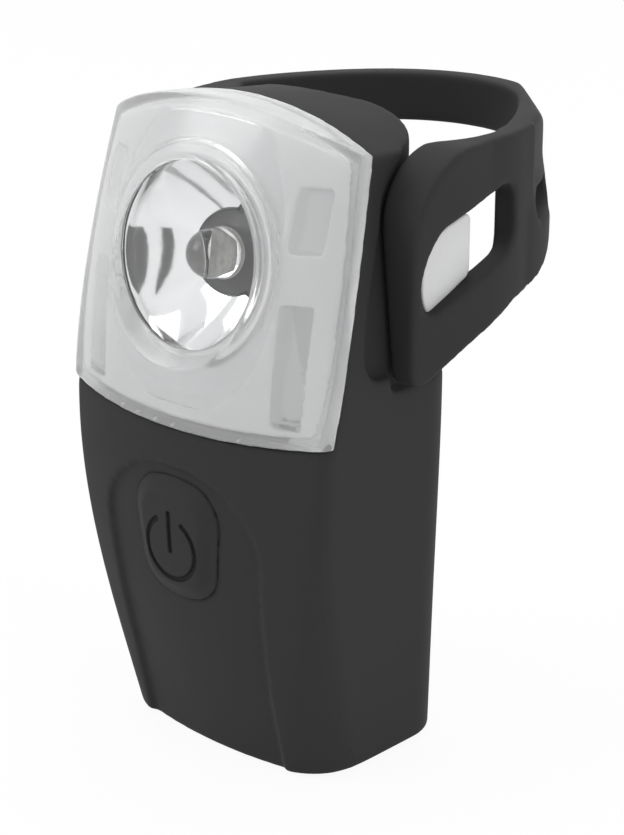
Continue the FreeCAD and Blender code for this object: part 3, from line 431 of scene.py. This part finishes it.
def parting_line(material):
    """Adds the fine raised line that the mould leaves down both flanks of the rubber."""
    tree = material.node_tree
    grain = next(node for node in tree.nodes if node.type == "BUMP")
    shader = next(node for node in tree.nodes if node.type == "BSDF_PRINCIPLED")
    front = mm(*PARTING_FRONT)
    place = added(tree, "ShaderNodeTexCoord")
    split = added(tree, "ShaderNodeSeparateXYZ")
    drop = added(tree, "ShaderNodeMath", operation="SUBTRACT")
    drop.inputs[1].default_value = front.z
    squared = added(tree, "ShaderNodeMath", operation="MULTIPLY")
    bent = added(tree, "ShaderNodeMath", operation="MULTIPLY_ADD")
    bent.inputs[1].default_value = -PARTING_BEND / MM
    distance = added(tree, "ShaderNodeMath", operation="ABSOLUTE")
    shift = added(tree, "ShaderNodeMath", operation="SUBTRACT")
    shift.inputs[1].default_value = front.y
    line = added(tree, "ShaderNodeMapRange", From_Max=0.16 * MM, To_Min=1.0, To_Max=0.0)
    line.interpolation_type = "SMOOTHSTEP"
    bump = added(tree, "ShaderNodeBump", Strength=0.7, Distance=0.05 * MM)
    tree.links.new(place.outputs["Object"], split.inputs["Vector"])
    tree.links.new(split.outputs["Z"], drop.inputs[0])
    tree.links.new(drop.outputs[0], squared.inputs[0])
    tree.links.new(drop.outputs[0], squared.inputs[1])
    tree.links.new(split.outputs["Y"], shift.inputs[0])
    tree.links.new(squared.outputs[0], bent.inputs[0])
    tree.links.new(shift.outputs[0], bent.inputs[2])
    tree.links.new(bent.outputs[0], distance.inputs[0])
    tree.links.new(distance.outputs[0], line.inputs["Value"])
    tree.links.new(line.outputs["Result"], bump.inputs["Height"])
    tree.links.new(grain.outputs["Normal"], bump.inputs["Normal"])
    tree.links.new(bump.outputs["Normal"], shader.inputs["Normal"])


class RubberSettings(bpy.types.PropertyGroup):
    grid: FloatProperty(
        name="Skin grid",
        description="Spacing of the mesh of the rubber's skin",
        default=0.24 * MM,
        unit="LENGTH",
    )
    softness: IntProperty(
        name="Edge softness",
        description="How often the rubber's edges are eased",
        default=28,
    )
    colour: FloatVectorProperty(
        name="Colour",
        description="Colour of the silicone rubber",
        default=(0.032, 0.032, 0.033),
        subtype="COLOR",
    )
    roughness: FloatProperty(
        name="Roughness",
        description="How matt the rubber is",
        default=0.65,
        subtype="FACTOR",
    )


class LensSettings(bpy.types.PropertyGroup):
    grid: FloatProperty(
        name="Lens grid",
        description="Spacing of the mesh of the moulded lens and its tray",
        default=0.2 * MM,
        unit="LENGTH",
    )
    frost: FloatProperty(
        name="Frost",
        description="Roughness of the lens outside its window",
        default=0.2,
        subtype="FACTOR",
    )
    clear: FloatVectorProperty(
        name="Clear plastic",
        description="Tint of the lens and the window",
        default=(0.95, 0.955, 0.96),
        subtype="COLOR",
    )
    tray: FloatVectorProperty(
        name="Tray",
        description="Colour of the pale frame behind the lens and of the hook",
        default=(0.8, 0.803, 0.806),
        subtype="COLOR",
    )


class LampSettings(bpy.types.PropertyGroup):
    window_radius: FloatProperty(
        name="Window radius",
        description="Radius of the clear window ahead of the lamp",
        default=9.9 * MM,
        unit="LENGTH",
    )
    bowl_steps: IntProperty(
        name="Bowl steps",
        description="Divisions round the turned pieces",
        default=128,
    )
    mirror: FloatVectorProperty(
        name="Mirror",
        description="Colour of the reflector's bright coating",
        default=(0.93, 0.93, 0.93),
        subtype="COLOR",
    )


class StudioSettings(bpy.types.PropertyGroup):
    distance: FloatProperty(
        name="Camera distance",
        description="From the camera to the middle of the light",
        default=0.2488,
        unit="LENGTH",
    )
    lens: FloatProperty(
        name="Focal length",
        description="Focal length of the camera in millimetres",
        default=94.7,
    )
    azimuth: FloatProperty(
        name="Azimuth",
        description="Turn of the camera from straight ahead",
        default=math.radians(43.02),
        subtype="ANGLE",
    )
    elevation: FloatProperty(
        name="Elevation",
        description="Height of the camera as an angle",
        default=math.radians(19.61),
        subtype="ANGLE",
    )
    daylight: FloatProperty(
        name="Surrounding light",
        description="Strength of the even light from all round",
        default=0.55,
    )


class LIGHT_OT_silicone_body(bpy.types.Operator):
    """Models the sleeve with the left half of its strap as one soft skin"""

    bl_idname = "light.silicone_body"
    bl_label = "Silicone body"

    def execute(self, context):
        rubber = context.scene.light_rubber
        half = trimmed(copied("strap_left", "strap_loop"), STRAP_SEAM + SEAM_SPARE, "low")
        bridge = block(
            "root_bridge",
            (ROOT_PIN[0], ROOT_PIN[1] - 0.9, (STRAP_TOP + STRAP_ROOT_LOW) / 2),
            (STRAP_THICK, ROOT_BRIDGE_LONG, STRAP_TOP - STRAP_ROOT_LOW),
        )
        band = lower_band(STRAP_SEAM + SEAM_SPARE, "low")
        body = joined(copied("silicone_body", "silicone_sleeve"), half, band, bridge)
        skinned(body, rubber.grid, rubber.softness, keep=0.3)
        front = mm(0, SEAM_FRONT, 0).y
        trimmed(body, STRAP_SEAM + SEAM_LAP, "low", lambda face: face.center.y > front)
        dressed(body, MATERIALS["silicone"], "silicone", None, "silicone_sleeve")
        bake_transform(body)
        return {"FINISHED"}


class LIGHT_OT_strap_end(bpy.types.Operator):
    """Models the right half of the strap with its slotted tab as one soft skin"""

    bl_idname = "light.strap_end"
    bl_label = "Strap end"

    def execute(self, context):
        rubber = context.scene.light_rubber
        end = trimmed(copied("strap_end", "strap_loop"), STRAP_SEAM - SEAM_SPARE, "high")
        across = math.radians(SLOT_TURN)
        for reach in SLOT_REACH:
            front = (
                SLOT_MOUTH[0] + reach * math.sin(across),
                SLOT_MOUTH[1] - reach * math.cos(across),
                SLOT_MOUTH[2],
            )
            drilled(end, SLOT_RADIUS, front, SLOT_TURN - 6)
        rear = math.radians(EDGE_AZIMUTH)
        outward = (math.cos(rear), math.sin(rear))
        edge = mm(EDGE_OUT * outward[0], EDGE_OUT * outward[1], STRAP_TOP)
        sliced(end, edge, (EDGE_SLOPE[0] * outward[0], EDGE_SLOPE[0] * outward[1], EDGE_SLOPE[1]))
        turn = math.radians(TAB_TURN)
        bridges = []
        for along, low in TAB_BRIDGES:
            middle = (
                TAB_PIN[0] - along * math.sin(turn),
                TAB_PIN[1] + along * math.cos(turn),
                (STRAP_TOP + low) / 2,
            )
            size = (STRAP_THICK, TAB_BRIDGE_LONG, STRAP_TOP - low)
            bridges.append(block("tab_bridge", middle, size, TAB_TURN))
        band = lower_band(STRAP_SEAM - SEAM_SPARE, "high")
        joined(end, band, copied("tab_wedge", "strap_tab"), *bridges)
        skinned(end, rubber.grid * 2 / 3, rubber.softness * 3, keep=0.35)
        trimmed(end, STRAP_SEAM, "high")
        dressed(end, MATERIALS["silicone"], "silicone", None, "strap_loop", "strap_tab")
        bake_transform(end)
        return {"FINISHED"}


def sink_rim(pad, width, depth, under):
    """Lowers the button's face, and its back by less, towards the rim, so that it runs out into the apron."""
    skin_back = mm(0, PAD_SKIN_BACK, 0).y
    middle = mm(0, 0, SYMBOL_HEIGHT).z
    rim = [
        v.co
        for v in pad.data.vertices
        if abs(v.normal.y) < 0.35
        and v.co.y < skin_back
        and math.hypot(v.co.x, v.co.z - middle) > SYMBOL_CLEAR * MM
    ]
    tree = KDTree(len(rim))
    for index, place in enumerate(rim):
        tree.insert((place.x, 0, place.z), index)
    tree.balance()
    facing = [vertex.normal.y for vertex in pad.data.vertices]
    for vertex, back in zip(pad.data.vertices, facing):
        if vertex.co.y < skin_back:
            away = min(tree.find((vertex.co.x, 0, vertex.co.z))[2] / width, 1)
            vertex.co.y += (depth if back < 0.2 else under) * (1 - eased(away))


def from_symbol(place):
    """How far, in millimetres, a place of the button's skin is from the power sign's open ring and bar."""
    x = place.x / MM
    z = place.z / MM + POST_AXIS.z - SYMBOL_HEIGHT
    if place.y > mm(0, SYMBOL_FRONT, 0).y:
        return math.inf
    if z > 0 and abs(x) < SYMBOL_GAP:
        ring = math.hypot(abs(x) - SYMBOL_GAP, z - math.sqrt(SYMBOL_RADIUS ** 2 - SYMBOL_GAP ** 2))
    else:
        ring = abs(math.hypot(x, z) - SYMBOL_RADIUS)
    bar = math.hypot(x, z - min(max(z, SYMBOL_BAR[0]), SYMBOL_BAR[1]))
    return min(ring, bar)


def bent_terms(p):
    """What a gently bent surface's Y is a sum of, at a place."""
    return (1, p.x, p.z, p.x * p.x, p.x * p.z, p.z * p.z)


def heal_symbol(pad):
    """Lays the button's face, where the solid's sign is sunk, on a smooth surface through its surroundings."""
    near = [v for v in pad.data.vertices if v.normal.y < 0 and from_symbol(v.co) < HEAL_REACH]
    clean = [v.co for v in near if from_symbol(v.co) > HEAL_FULL]
    table = numpy.array([bent_terms(p) for p in clean])
    curve = numpy.linalg.lstsq(table, numpy.array([p.y for p in clean]), rcond=None)[0]
    for vertex in near:
        smooth = float(curve @ bent_terms(vertex.co))
        share = min(max((HEAL_FULL + HEAL_FADE - from_symbol(vertex.co)) / HEAL_FADE, 0), 1)
        vertex.co.y += (smooth - vertex.co.y) * share


def press_symbol(pad, depth):
    """Presses the power sign into the button's skin with soft edges."""
    for vertex in pad.data.vertices:
        away = max(from_symbol(vertex.co) - SYMBOL_HALF_LINE * 0.5, 0) / (SYMBOL_HALF_LINE * 0.8)
        if away < 1:
            vertex.co.y += depth * (1 - eased(away))


class LIGHT_OT_button(bpy.types.Operator):
    """Models the soft power button with its sunk symbol, whose groove gets painted shade"""

    bl_idname = "light.button"
    bl_label = "Power button"

    def execute(self, context):
        pad = skinned(copied("button_skin", "button_pad"), grid=0.12 * MM, softness=40)
        heal_symbol(pad)
        spread(pad, PAD_SPREAD, PAD_MIDDLE)
        bpy.ops.transform.translate(value=(0, -PAD_PROUD * MM, 0))
        leave()
        sink_rim(pad, PAD_RIM * MM, PAD_SINK[0] * MM, PAD_SINK[1] * MM)
        edit(pad)
        bpy.ops.mesh.select_mode(type="FACE")
        select_where(pad, lambda face: from_symbol(face.center) < 0.8)
        bpy.ops.mesh.subdivide(number_cuts=1)
        bpy.ops.mesh.select_mode(type="VERT")
        leave()
        press_symbol(pad, SYMBOL_DEPTH * MM)
        dressed(pad, MATERIALS["silicone"], "silicone", "button", "button_pad")
        # The power sign's groove gets a far darker copy of the rubber: painted shade in the recess.
        pad.data.materials.append(MATERIALS["symbol"])
        for polygon in pad.data.polygons:
            polygon.material_index = int(from_symbol(polygon.center) < SYMBOL_HALF_LINE)
            polygon.use_smooth = True
        return {"FINISHED"}


def in_painted_pocket_shade(point):
    """Whether a point of the tray lies in one of its lower pockets, which get painted shade."""
    x, y, z = point / MM + POST_AXIS
    across = POCKET_SIDES[0] < abs(x) < POCKET_SIDES[1]
    return across and POCKET_LEVELS[0] < z < POCKET_LEVELS[1] and y > POCKET_FRONT


class LIGHT_OT_lens(bpy.types.Operator):
    """Models the moulded lens, its clear window and the pale tray and hook"""

    bl_idname = "light.lens"
    bl_label = "Lens, tray and hook"

    def execute(self, context):
        lens = context.scene.light_lens
        lamp = context.scene.light_lamp
        cover = copied("lens_shell", "lens_cover")
        deselect()
        bpy.ops.mesh.primitive_cylinder_add(vertices=128, radius=lamp.window_radius, depth=12 * MM)
        bore = bpy.context.object
        bore.matrix_world = lamp_axis()
        settle()
        finish_with(cover, "BOOLEAN", operation="DIFFERENCE", object=bore, solver="EXACT")
        bpy.data.objects.remove(bore)
        skinned(cover, lens.grid * 3 / 4, softness=36, keep=0.58)
        dressed(cover, MATERIALS["frosted_lens"], "clear_plastic", "lamp", "lens_cover")

        radius = lamp.window_radius / MM + 0.02
        pane = turned("window_pane", [
            (0, 0.12),
            (radius * 0.5, 0.1),
            (radius - 0.5, 0.02),
            (radius, -0.1),
            (radius, -1.1),
            (radius - 0.1, -1.2),
            (0, -1.2),
        ], lamp_axis())
        dressed(pane, MATERIALS["window"], "clear_plastic", "lamp")

        tray = copied("light_frame", "lens_tray")
        floors = []
        for side in (-1, 1):
            for (x, y, z), size, turn, tilt in POCKET_FLOORS:
                floors.append(block("pocket_floor", (x * side, y, z), size, turn * side, tilt))
        joined(tray, *floors)
        skinned(tray, lens.grid, softness=12, keep=0.7)
        spread(tray, TRAY_SPREAD, TRAY_MIDDLE)
        bpy.ops.transform.translate(value=(0, -TRAY_PUSH * MM, 0))
        leave()
        dressed(tray, MATERIALS["tray"], "frosted_plastic", "lamp", "lens_tray")
        # The lower pockets get a darker copy of the tray's colour: painted shade in the recesses.
        tray.data.materials.append(MATERIALS["pocket"])
        for polygon in tray.data.polygons:
            polygon.material_index = int(in_painted_pocket_shade(polygon.center))
        hook = skinned(copied("tab_hook", "strap_hook"), grid=0.13 * MM, softness=6)
        spread(hook, HOOK_SPREAD, HOOK_MIDDLE)
        leave()
        dressed(hook, MATERIALS["hook"], "frosted_plastic", "lamp", "strap_hook")
        return {"FINISHED"}


class LIGHT_OT_lamp(bpy.types.Operator):
    """Models the bright bowl, the lamp's base and its dome"""

    bl_idname = "light.lamp"
    bl_label = "Lamp"

    def execute(self, context):
        steps = context.scene.light_lamp.bowl_steps
        rim, foot = BOWL_RIM, BOWL_FOOT
        shallow, deep = BOWL_DEPTHS
        bend = (deep - shallow) / (rim ** 2 - foot ** 2)
        radii = [foot + (rim - foot) * n / BOWL_POINTS for n in range(BOWL_POINTS + 1)]
        inner = [(r, -deep + bend * (r * r - foot * foot)) for r in radii]
        bowl = turned("reflector_bowl", [
            *inner,
            (rim + 0.25, -1.3),
            (rim + 1.35, -1.3),
            (rim + 1.4, -1.85),
            (rim + 0.45, -1.88),
            *[(r + 0.5, z - 0.25) for r, z in reversed(inner[:-1])],
            inner[0],
        ], lamp_axis(), steps)
        dressed(bowl, MATERIALS["mirror"], "bright_coating", "lamp", "reflector")

        base = turned("lamp_base", [
            (0, -5.95),
            (1.7, -5.95),
            (1.75, -5.75),
            (2.75, -5.75),
            (3.1, -6.1),
            (4.3, -6.3),
            (4.35, -6.6),
            (0, -6.6),
        ], lamp_axis(), steps)
        dressed(base, MATERIALS["lamp_base"], "lamp_base", "lamp", "led_base")
        base.data.materials.append(MATERIALS["phosphor"])
        centre = lamp_axis(BASE_DEPTH).translation
        for polygon in base.data.polygons:
            polygon.material_index = int((polygon.center - centre).length < BASE_PALE * MM)

        deselect()
        bpy.ops.mesh.primitive_cube_add(size=1)
        chip = bpy.context.object
        chip.name = "lamp_chip"
        chip.scale = Vector(CHIP_SIZE) * MM
        bpy.ops.object.transform_apply(location=False, rotation=False, scale=True)
        finish_with(chip, "BEVEL", width=0.08 * MM, segments=2)
        chip.matrix_world = lamp_axis(CHIP_DEPTH)
        settle()
        dressed(chip, MATERIALS["phosphor"], "lamp_base", "lamp")

        dome = turned("lamp_dome", [
            (0, -5.55),
            (DOME_RADIUS - 0.1, -5.55),
            (DOME_RADIUS, -5.4),
            (DOME_RADIUS, DOME_WAIST),
            *arc_points((0, DOME_WAIST), DOME_RADIUS, 8, 82, 10),
            (0, DOME_WAIST + DOME_RADIUS),
        ], lamp_axis(), steps)
        dressed(dome, MATERIALS["dome"], "clear_plastic", "lamp", "led_dome")
        return {"FINISHED"}


class LIGHT_OT_inner_parts(bpy.types.Operator):
    """Finishes the solids inside the capsule"""

    bl_idname = "light.inner_parts"
    bl_label = "Inner parts"

    def execute(self, context):
        for finish, nodes in INNER_FINISHES.items():
            for node in nodes:
                obj = NODES[node]
                obj.data.materials.clear()
                obj.data.materials.append(MATERIALS[finish])
        return {"FINISHED"}


class LIGHT_OT_studio(bpy.types.Operator):
    """Sets the floor, the soft lights, the surroundings and the camera"""

    bl_idname = "light.studio"
    bl_label = "Studio"

    def execute(self, context):
        studio = context.scene.light_studio
        target = mm(*TARGET)
        flat = math.cos(studio.elevation)
        aim = Vector((
            math.sin(studio.azimuth) * flat,
            -math.cos(studio.azimuth) * flat,
            math.sin(studio.elevation),
        ))
        camera = bpy.data.cameras.new("camera")
        camera.lens = studio.lens
        camera.sensor_width = 36
        camera.clip_start = 0.01
        eye = bpy.data.objects.new("camera", camera)
        eye.location = target + aim * studio.distance
        eye.rotation_euler = aim.to_track_quat("Z", "Y").to_euler()
        context.scene.collection.objects.link(eye)
        context.scene.camera = eye

        deselect()
        bpy.ops.mesh.primitive_plane_add(size=6, location=(0, 0, CAD_BOX[0].z - 0.02 * MM))
        floor = bpy.context.object
        floor.name = "studio_floor"
        settle()
        floor.data.materials.append(MATERIALS["floor"])

        for name, place, size, power in LIGHTS:
            lamp = bpy.data.lights.new(name, "AREA")
            lamp.size = size
            lamp.energy = power
            holder = bpy.data.objects.new(name, lamp)
            holder.location = place
            holder.rotation_euler = (Vector(place) - target).to_track_quat("Z", "Y").to_euler()
            context.scene.collection.objects.link(holder)
        for azimuth, wide in CARDS:
            dark_card(target, math.radians(azimuth), wide)
        surroundings(context.scene, studio.daylight)
        context.scene.view_settings.view_transform = "Standard"
        return {"FINISHED"}


def dark_card(target, azimuth, wide):
    """A dark oval card beside the camera, which only gloss and clear plastic see."""
    rise = math.radians(CARD_ELEVATION)
    level = math.cos(rise)
    facing = Vector((math.sin(azimuth) * level, -math.cos(azimuth) * level, math.sin(rise)))
    deselect()
    bpy.ops.mesh.primitive_circle_add(
        vertices=64,
        radius=0.5,
        fill_type="NGON",
        location=target + facing * CARD_DISTANCE,
        rotation=facing.to_track_quat("Z", "Y").to_euler(),
    )
    card = bpy.context.object
    card.name = "studio_card"
    card.scale = (wide, CARD_TALL, 1)
    settle()
    card.data.materials.append(MATERIALS["card"])
    card.visible_camera = False
    card.visible_diffuse = False
    card.visible_shadow = False


def seen_directly(tree):
    """A socket that is one for what the camera sees straight, in gloss or through clear plastic."""
    path = added(tree, "ShaderNodeLightPath")
    straight = added(tree, "ShaderNodeMath", operation="ADD", use_clamp=True)
    either = added(tree, "ShaderNodeMath", operation="ADD", use_clamp=True)
    tree.links.new(path.outputs["Is Camera Ray"], straight.inputs[0])
    tree.links.new(path.outputs["Is Transmission Ray"], straight.inputs[1])
    tree.links.new(straight.outputs[0], either.inputs[0])
    tree.links.new(path.outputs["Is Glossy Ray"], either.inputs[1])
    return either.outputs[0]


def surroundings(scene, strength):
    """Even light all round, which the camera, gloss and clear plastic see as white."""
    world = scene.world or bpy.data.worlds.new("studio")
    scene.world = world
    world.use_nodes = True
    tree = world.node_tree
    tree.nodes.clear()
    level = added(tree, "ShaderNodeMapRange", To_Min=strength, To_Max=1.0)
    back = added(tree, "ShaderNodeBackground", Color=(1, 1, 1, 1))
    out = added(tree, "ShaderNodeOutputWorld")
    tree.links.new(seen_directly(tree), level.inputs["Value"])
    tree.links.new(level.outputs["Result"], back.inputs["Strength"])
    tree.links.new(back.outputs["Background"], out.inputs["Surface"])


def floor_finish():
    """A white floor that the camera sees almost shadowless."""
    material, tree, shader = surface("studio_white")
    shader.inputs["Base Color"].default_value = (0.9, 0.9, 0.9, 1)
    shader.inputs["Roughness"].default_value = 0.9
    part = added(tree, "ShaderNodeMath", operation="MULTIPLY")
    part.inputs[1].default_value = 0.93
    glow = added(tree, "ShaderNodeEmission", Color=(1, 1, 1, 1), Strength=1.0)
    both = added(tree, "ShaderNodeMixShader")
    out = next(n for n in tree.nodes if n.type == "OUTPUT_MATERIAL")
    tree.links.new(seen_directly(tree), part.inputs[0])
    tree.links.new(part.outputs[0], both.inputs["Fac"])
    tree.links.new(shader.outputs["BSDF"], both.inputs[1])
    tree.links.new(glow.outputs["Emission"], both.inputs[2])
    tree.links.new(both.outputs["Shader"], out.inputs["Surface"])
    return material


def make_materials(scene):
    rubber = scene.light_rubber
    lens = scene.light_lens
    # A far darker copy of the rubber for the power sign's groove: painted shade in the recess.
    dark = [c * 0.25 for c in rubber.colour]
    finishes = {
        "silicone": moulded(
            "silicone", rubber.colour, rubber.roughness, grain=0.35, relief=0.012, mottle=0.05,
            Specular_IOR_Level=0.1,
        ),
        "symbol": moulded("symbol_painted_shade", dark, 0.6, grain=0.2, relief=0.006, Specular_IOR_Level=0.2),
        "frosted_lens": moulded(
            "frosted_lens", lens.clear, lens.frost, grain=0.8, relief=0.002, mottle=0.01,
            Transmission_Weight=0.76, IOR=1.45,
        ),
        "window": moulded(
            "clear_window", lens.clear, 0.02, grain=3.0, relief=0.0005, mottle=0.005,
            Transmission_Weight=1.0, IOR=1.45,
        ),
        "dome": moulded(
            "lamp_dome", lens.clear, 0.02, grain=2.0, relief=0.0005, mottle=0.005,
            Transmission_Weight=1.0, IOR=1.5,
        ),
        "tray": moulded("tray_plastic", lens.tray, 0.4, grain=0.6, relief=0.004, mottle=0.02),
        # Painted shade: the tray's colour darkened for the deep lower pockets.
        "pocket": moulded("painted_pocket_shade", [c * 0.7 for c in lens.tray], 0.4, grain=0.6, relief=0.004),
        "hook": moulded(
            "hook_plastic", [c * 0.85 for c in lens.tray], 0.35, grain=0.5, relief=0.004, mottle=0.05,
            patch=2.0,
        ),
        "mirror": moulded(
            "bright_coating", scene.light_lamp.mirror, 0.09, grain=1.8, relief=0.02, mottle=0.04,
            Metallic=1.0,
        ),
        "lamp_base": moulded("lamp_ceramic", (0.06, 0.06, 0.06), 0.4, grain=0.3, relief=0.004),
        "white_board": moulded("white_board", (0.75, 0.75, 0.74), 0.4, grain=0.4, relief=0.003),
        "phosphor": moulded(
            "lamp_phosphor", (0.56, 0.56, 0.52), 0.6, grain=0.12, relief=0.02, mottle=0.5, patch=0.35,
        ),
        "seal": moulded("seal_rubber", (0.015, 0.015, 0.015), 0.6),
        "pale_seal": moulded("pale_seal_rubber", (0.7, 0.7, 0.7), 0.6),
        "capsule": moulded("capsule_plastic", (0.72, 0.725, 0.73), 0.4),
        "board": moulded(
            "circuit_board", (0.02, 0.07, 0.035), 0.45, grain=0.25, relief=0.02, mottle=0.3, patch=2.0,
        ),
        "chip": moulded("chip_body", (0.012, 0.012, 0.013), 0.5),
        "steel": moulded("plated_steel", (0.62, 0.61, 0.6), 0.3, grain=0.3, Metallic=1.0),
        "cell": moulded("cell_wrap", (0.12, 0.13, 0.14), 0.3, grain=1.0, relief=0.003),
        "floor": floor_finish(),
        "card": moulded("studio_black", (0.1, 0.1, 0.1), 0.9),
    }
    parting_line(finishes["silicone"])
    return finishes


INNER_FINISHES = {
    "seal": ["cap_seal"],
    "pale_seal": ["lens_gasket"],
    "capsule": ["inner_housing", "end_cap", "cell_holder"],
    "board": ["circuit_board"],
    "white_board": ["led_board"],
    "chip": ["driver_chip", "switch_base", "switch_plunger"],
    "steel": ["cap_screw_1", "cap_screw_2", "contact_lower", "contact_upper_1", "contact_upper_2"],
    "cell": ["cell_1", "cell_2"],
}
MATERIALS = {}


class LIGHT_PT_sidebar(bpy.types.Panel):
    """Lists the light's pieces and their settings"""

    bl_idname = "LIGHT_PT_sidebar"
    bl_label = "Bicycle light"
    bl_space_type = "VIEW_3D"
    bl_region_type = "UI"
    bl_category = "Bicycle light"

    def draw(self, context):
        for operator in OPERATORS:
            self.layout.operator(operator.bl_idname)
        for name, group in SETTINGS.items():
            column = self.layout.column()
            settings = getattr(context.scene, name)
            for field in group.__annotations__:
                column.prop(settings, field)


SETTINGS = {
    "light_rubber": RubberSettings,
    "light_lens": LensSettings,
    "light_lamp": LampSettings,
    "light_studio": StudioSettings,
}
OPERATORS = (
    LIGHT_OT_silicone_body,
    LIGHT_OT_strap_end,
    LIGHT_OT_button,
    LIGHT_OT_lens,
    LIGHT_OT_lamp,
    LIGHT_OT_inner_parts,
    LIGHT_OT_studio,
)


def register():
    for cls in (*SETTINGS.values(), *OPERATORS, LIGHT_PT_sidebar):
        bpy.utils.register_class(cls)
    for name, group in SETTINGS.items():
        setattr(bpy.types.Scene, name, PointerProperty(type=group))


def unregister():
    for name in SETTINGS:
        delattr(bpy.types.Scene, name)
    for cls in reversed((*SETTINGS.values(), *OPERATORS, LIGHT_PT_sidebar)):
        bpy.utils.unregister_class(cls)


def main():
    register()
    MATERIALS.update(make_materials(bpy.context.scene))
    for operator in OPERATORS:
        category, name = operator.bl_idname.split(".")
        getattr(getattr(bpy.ops, category), name)()


if __name__ == "__main__":
    main()
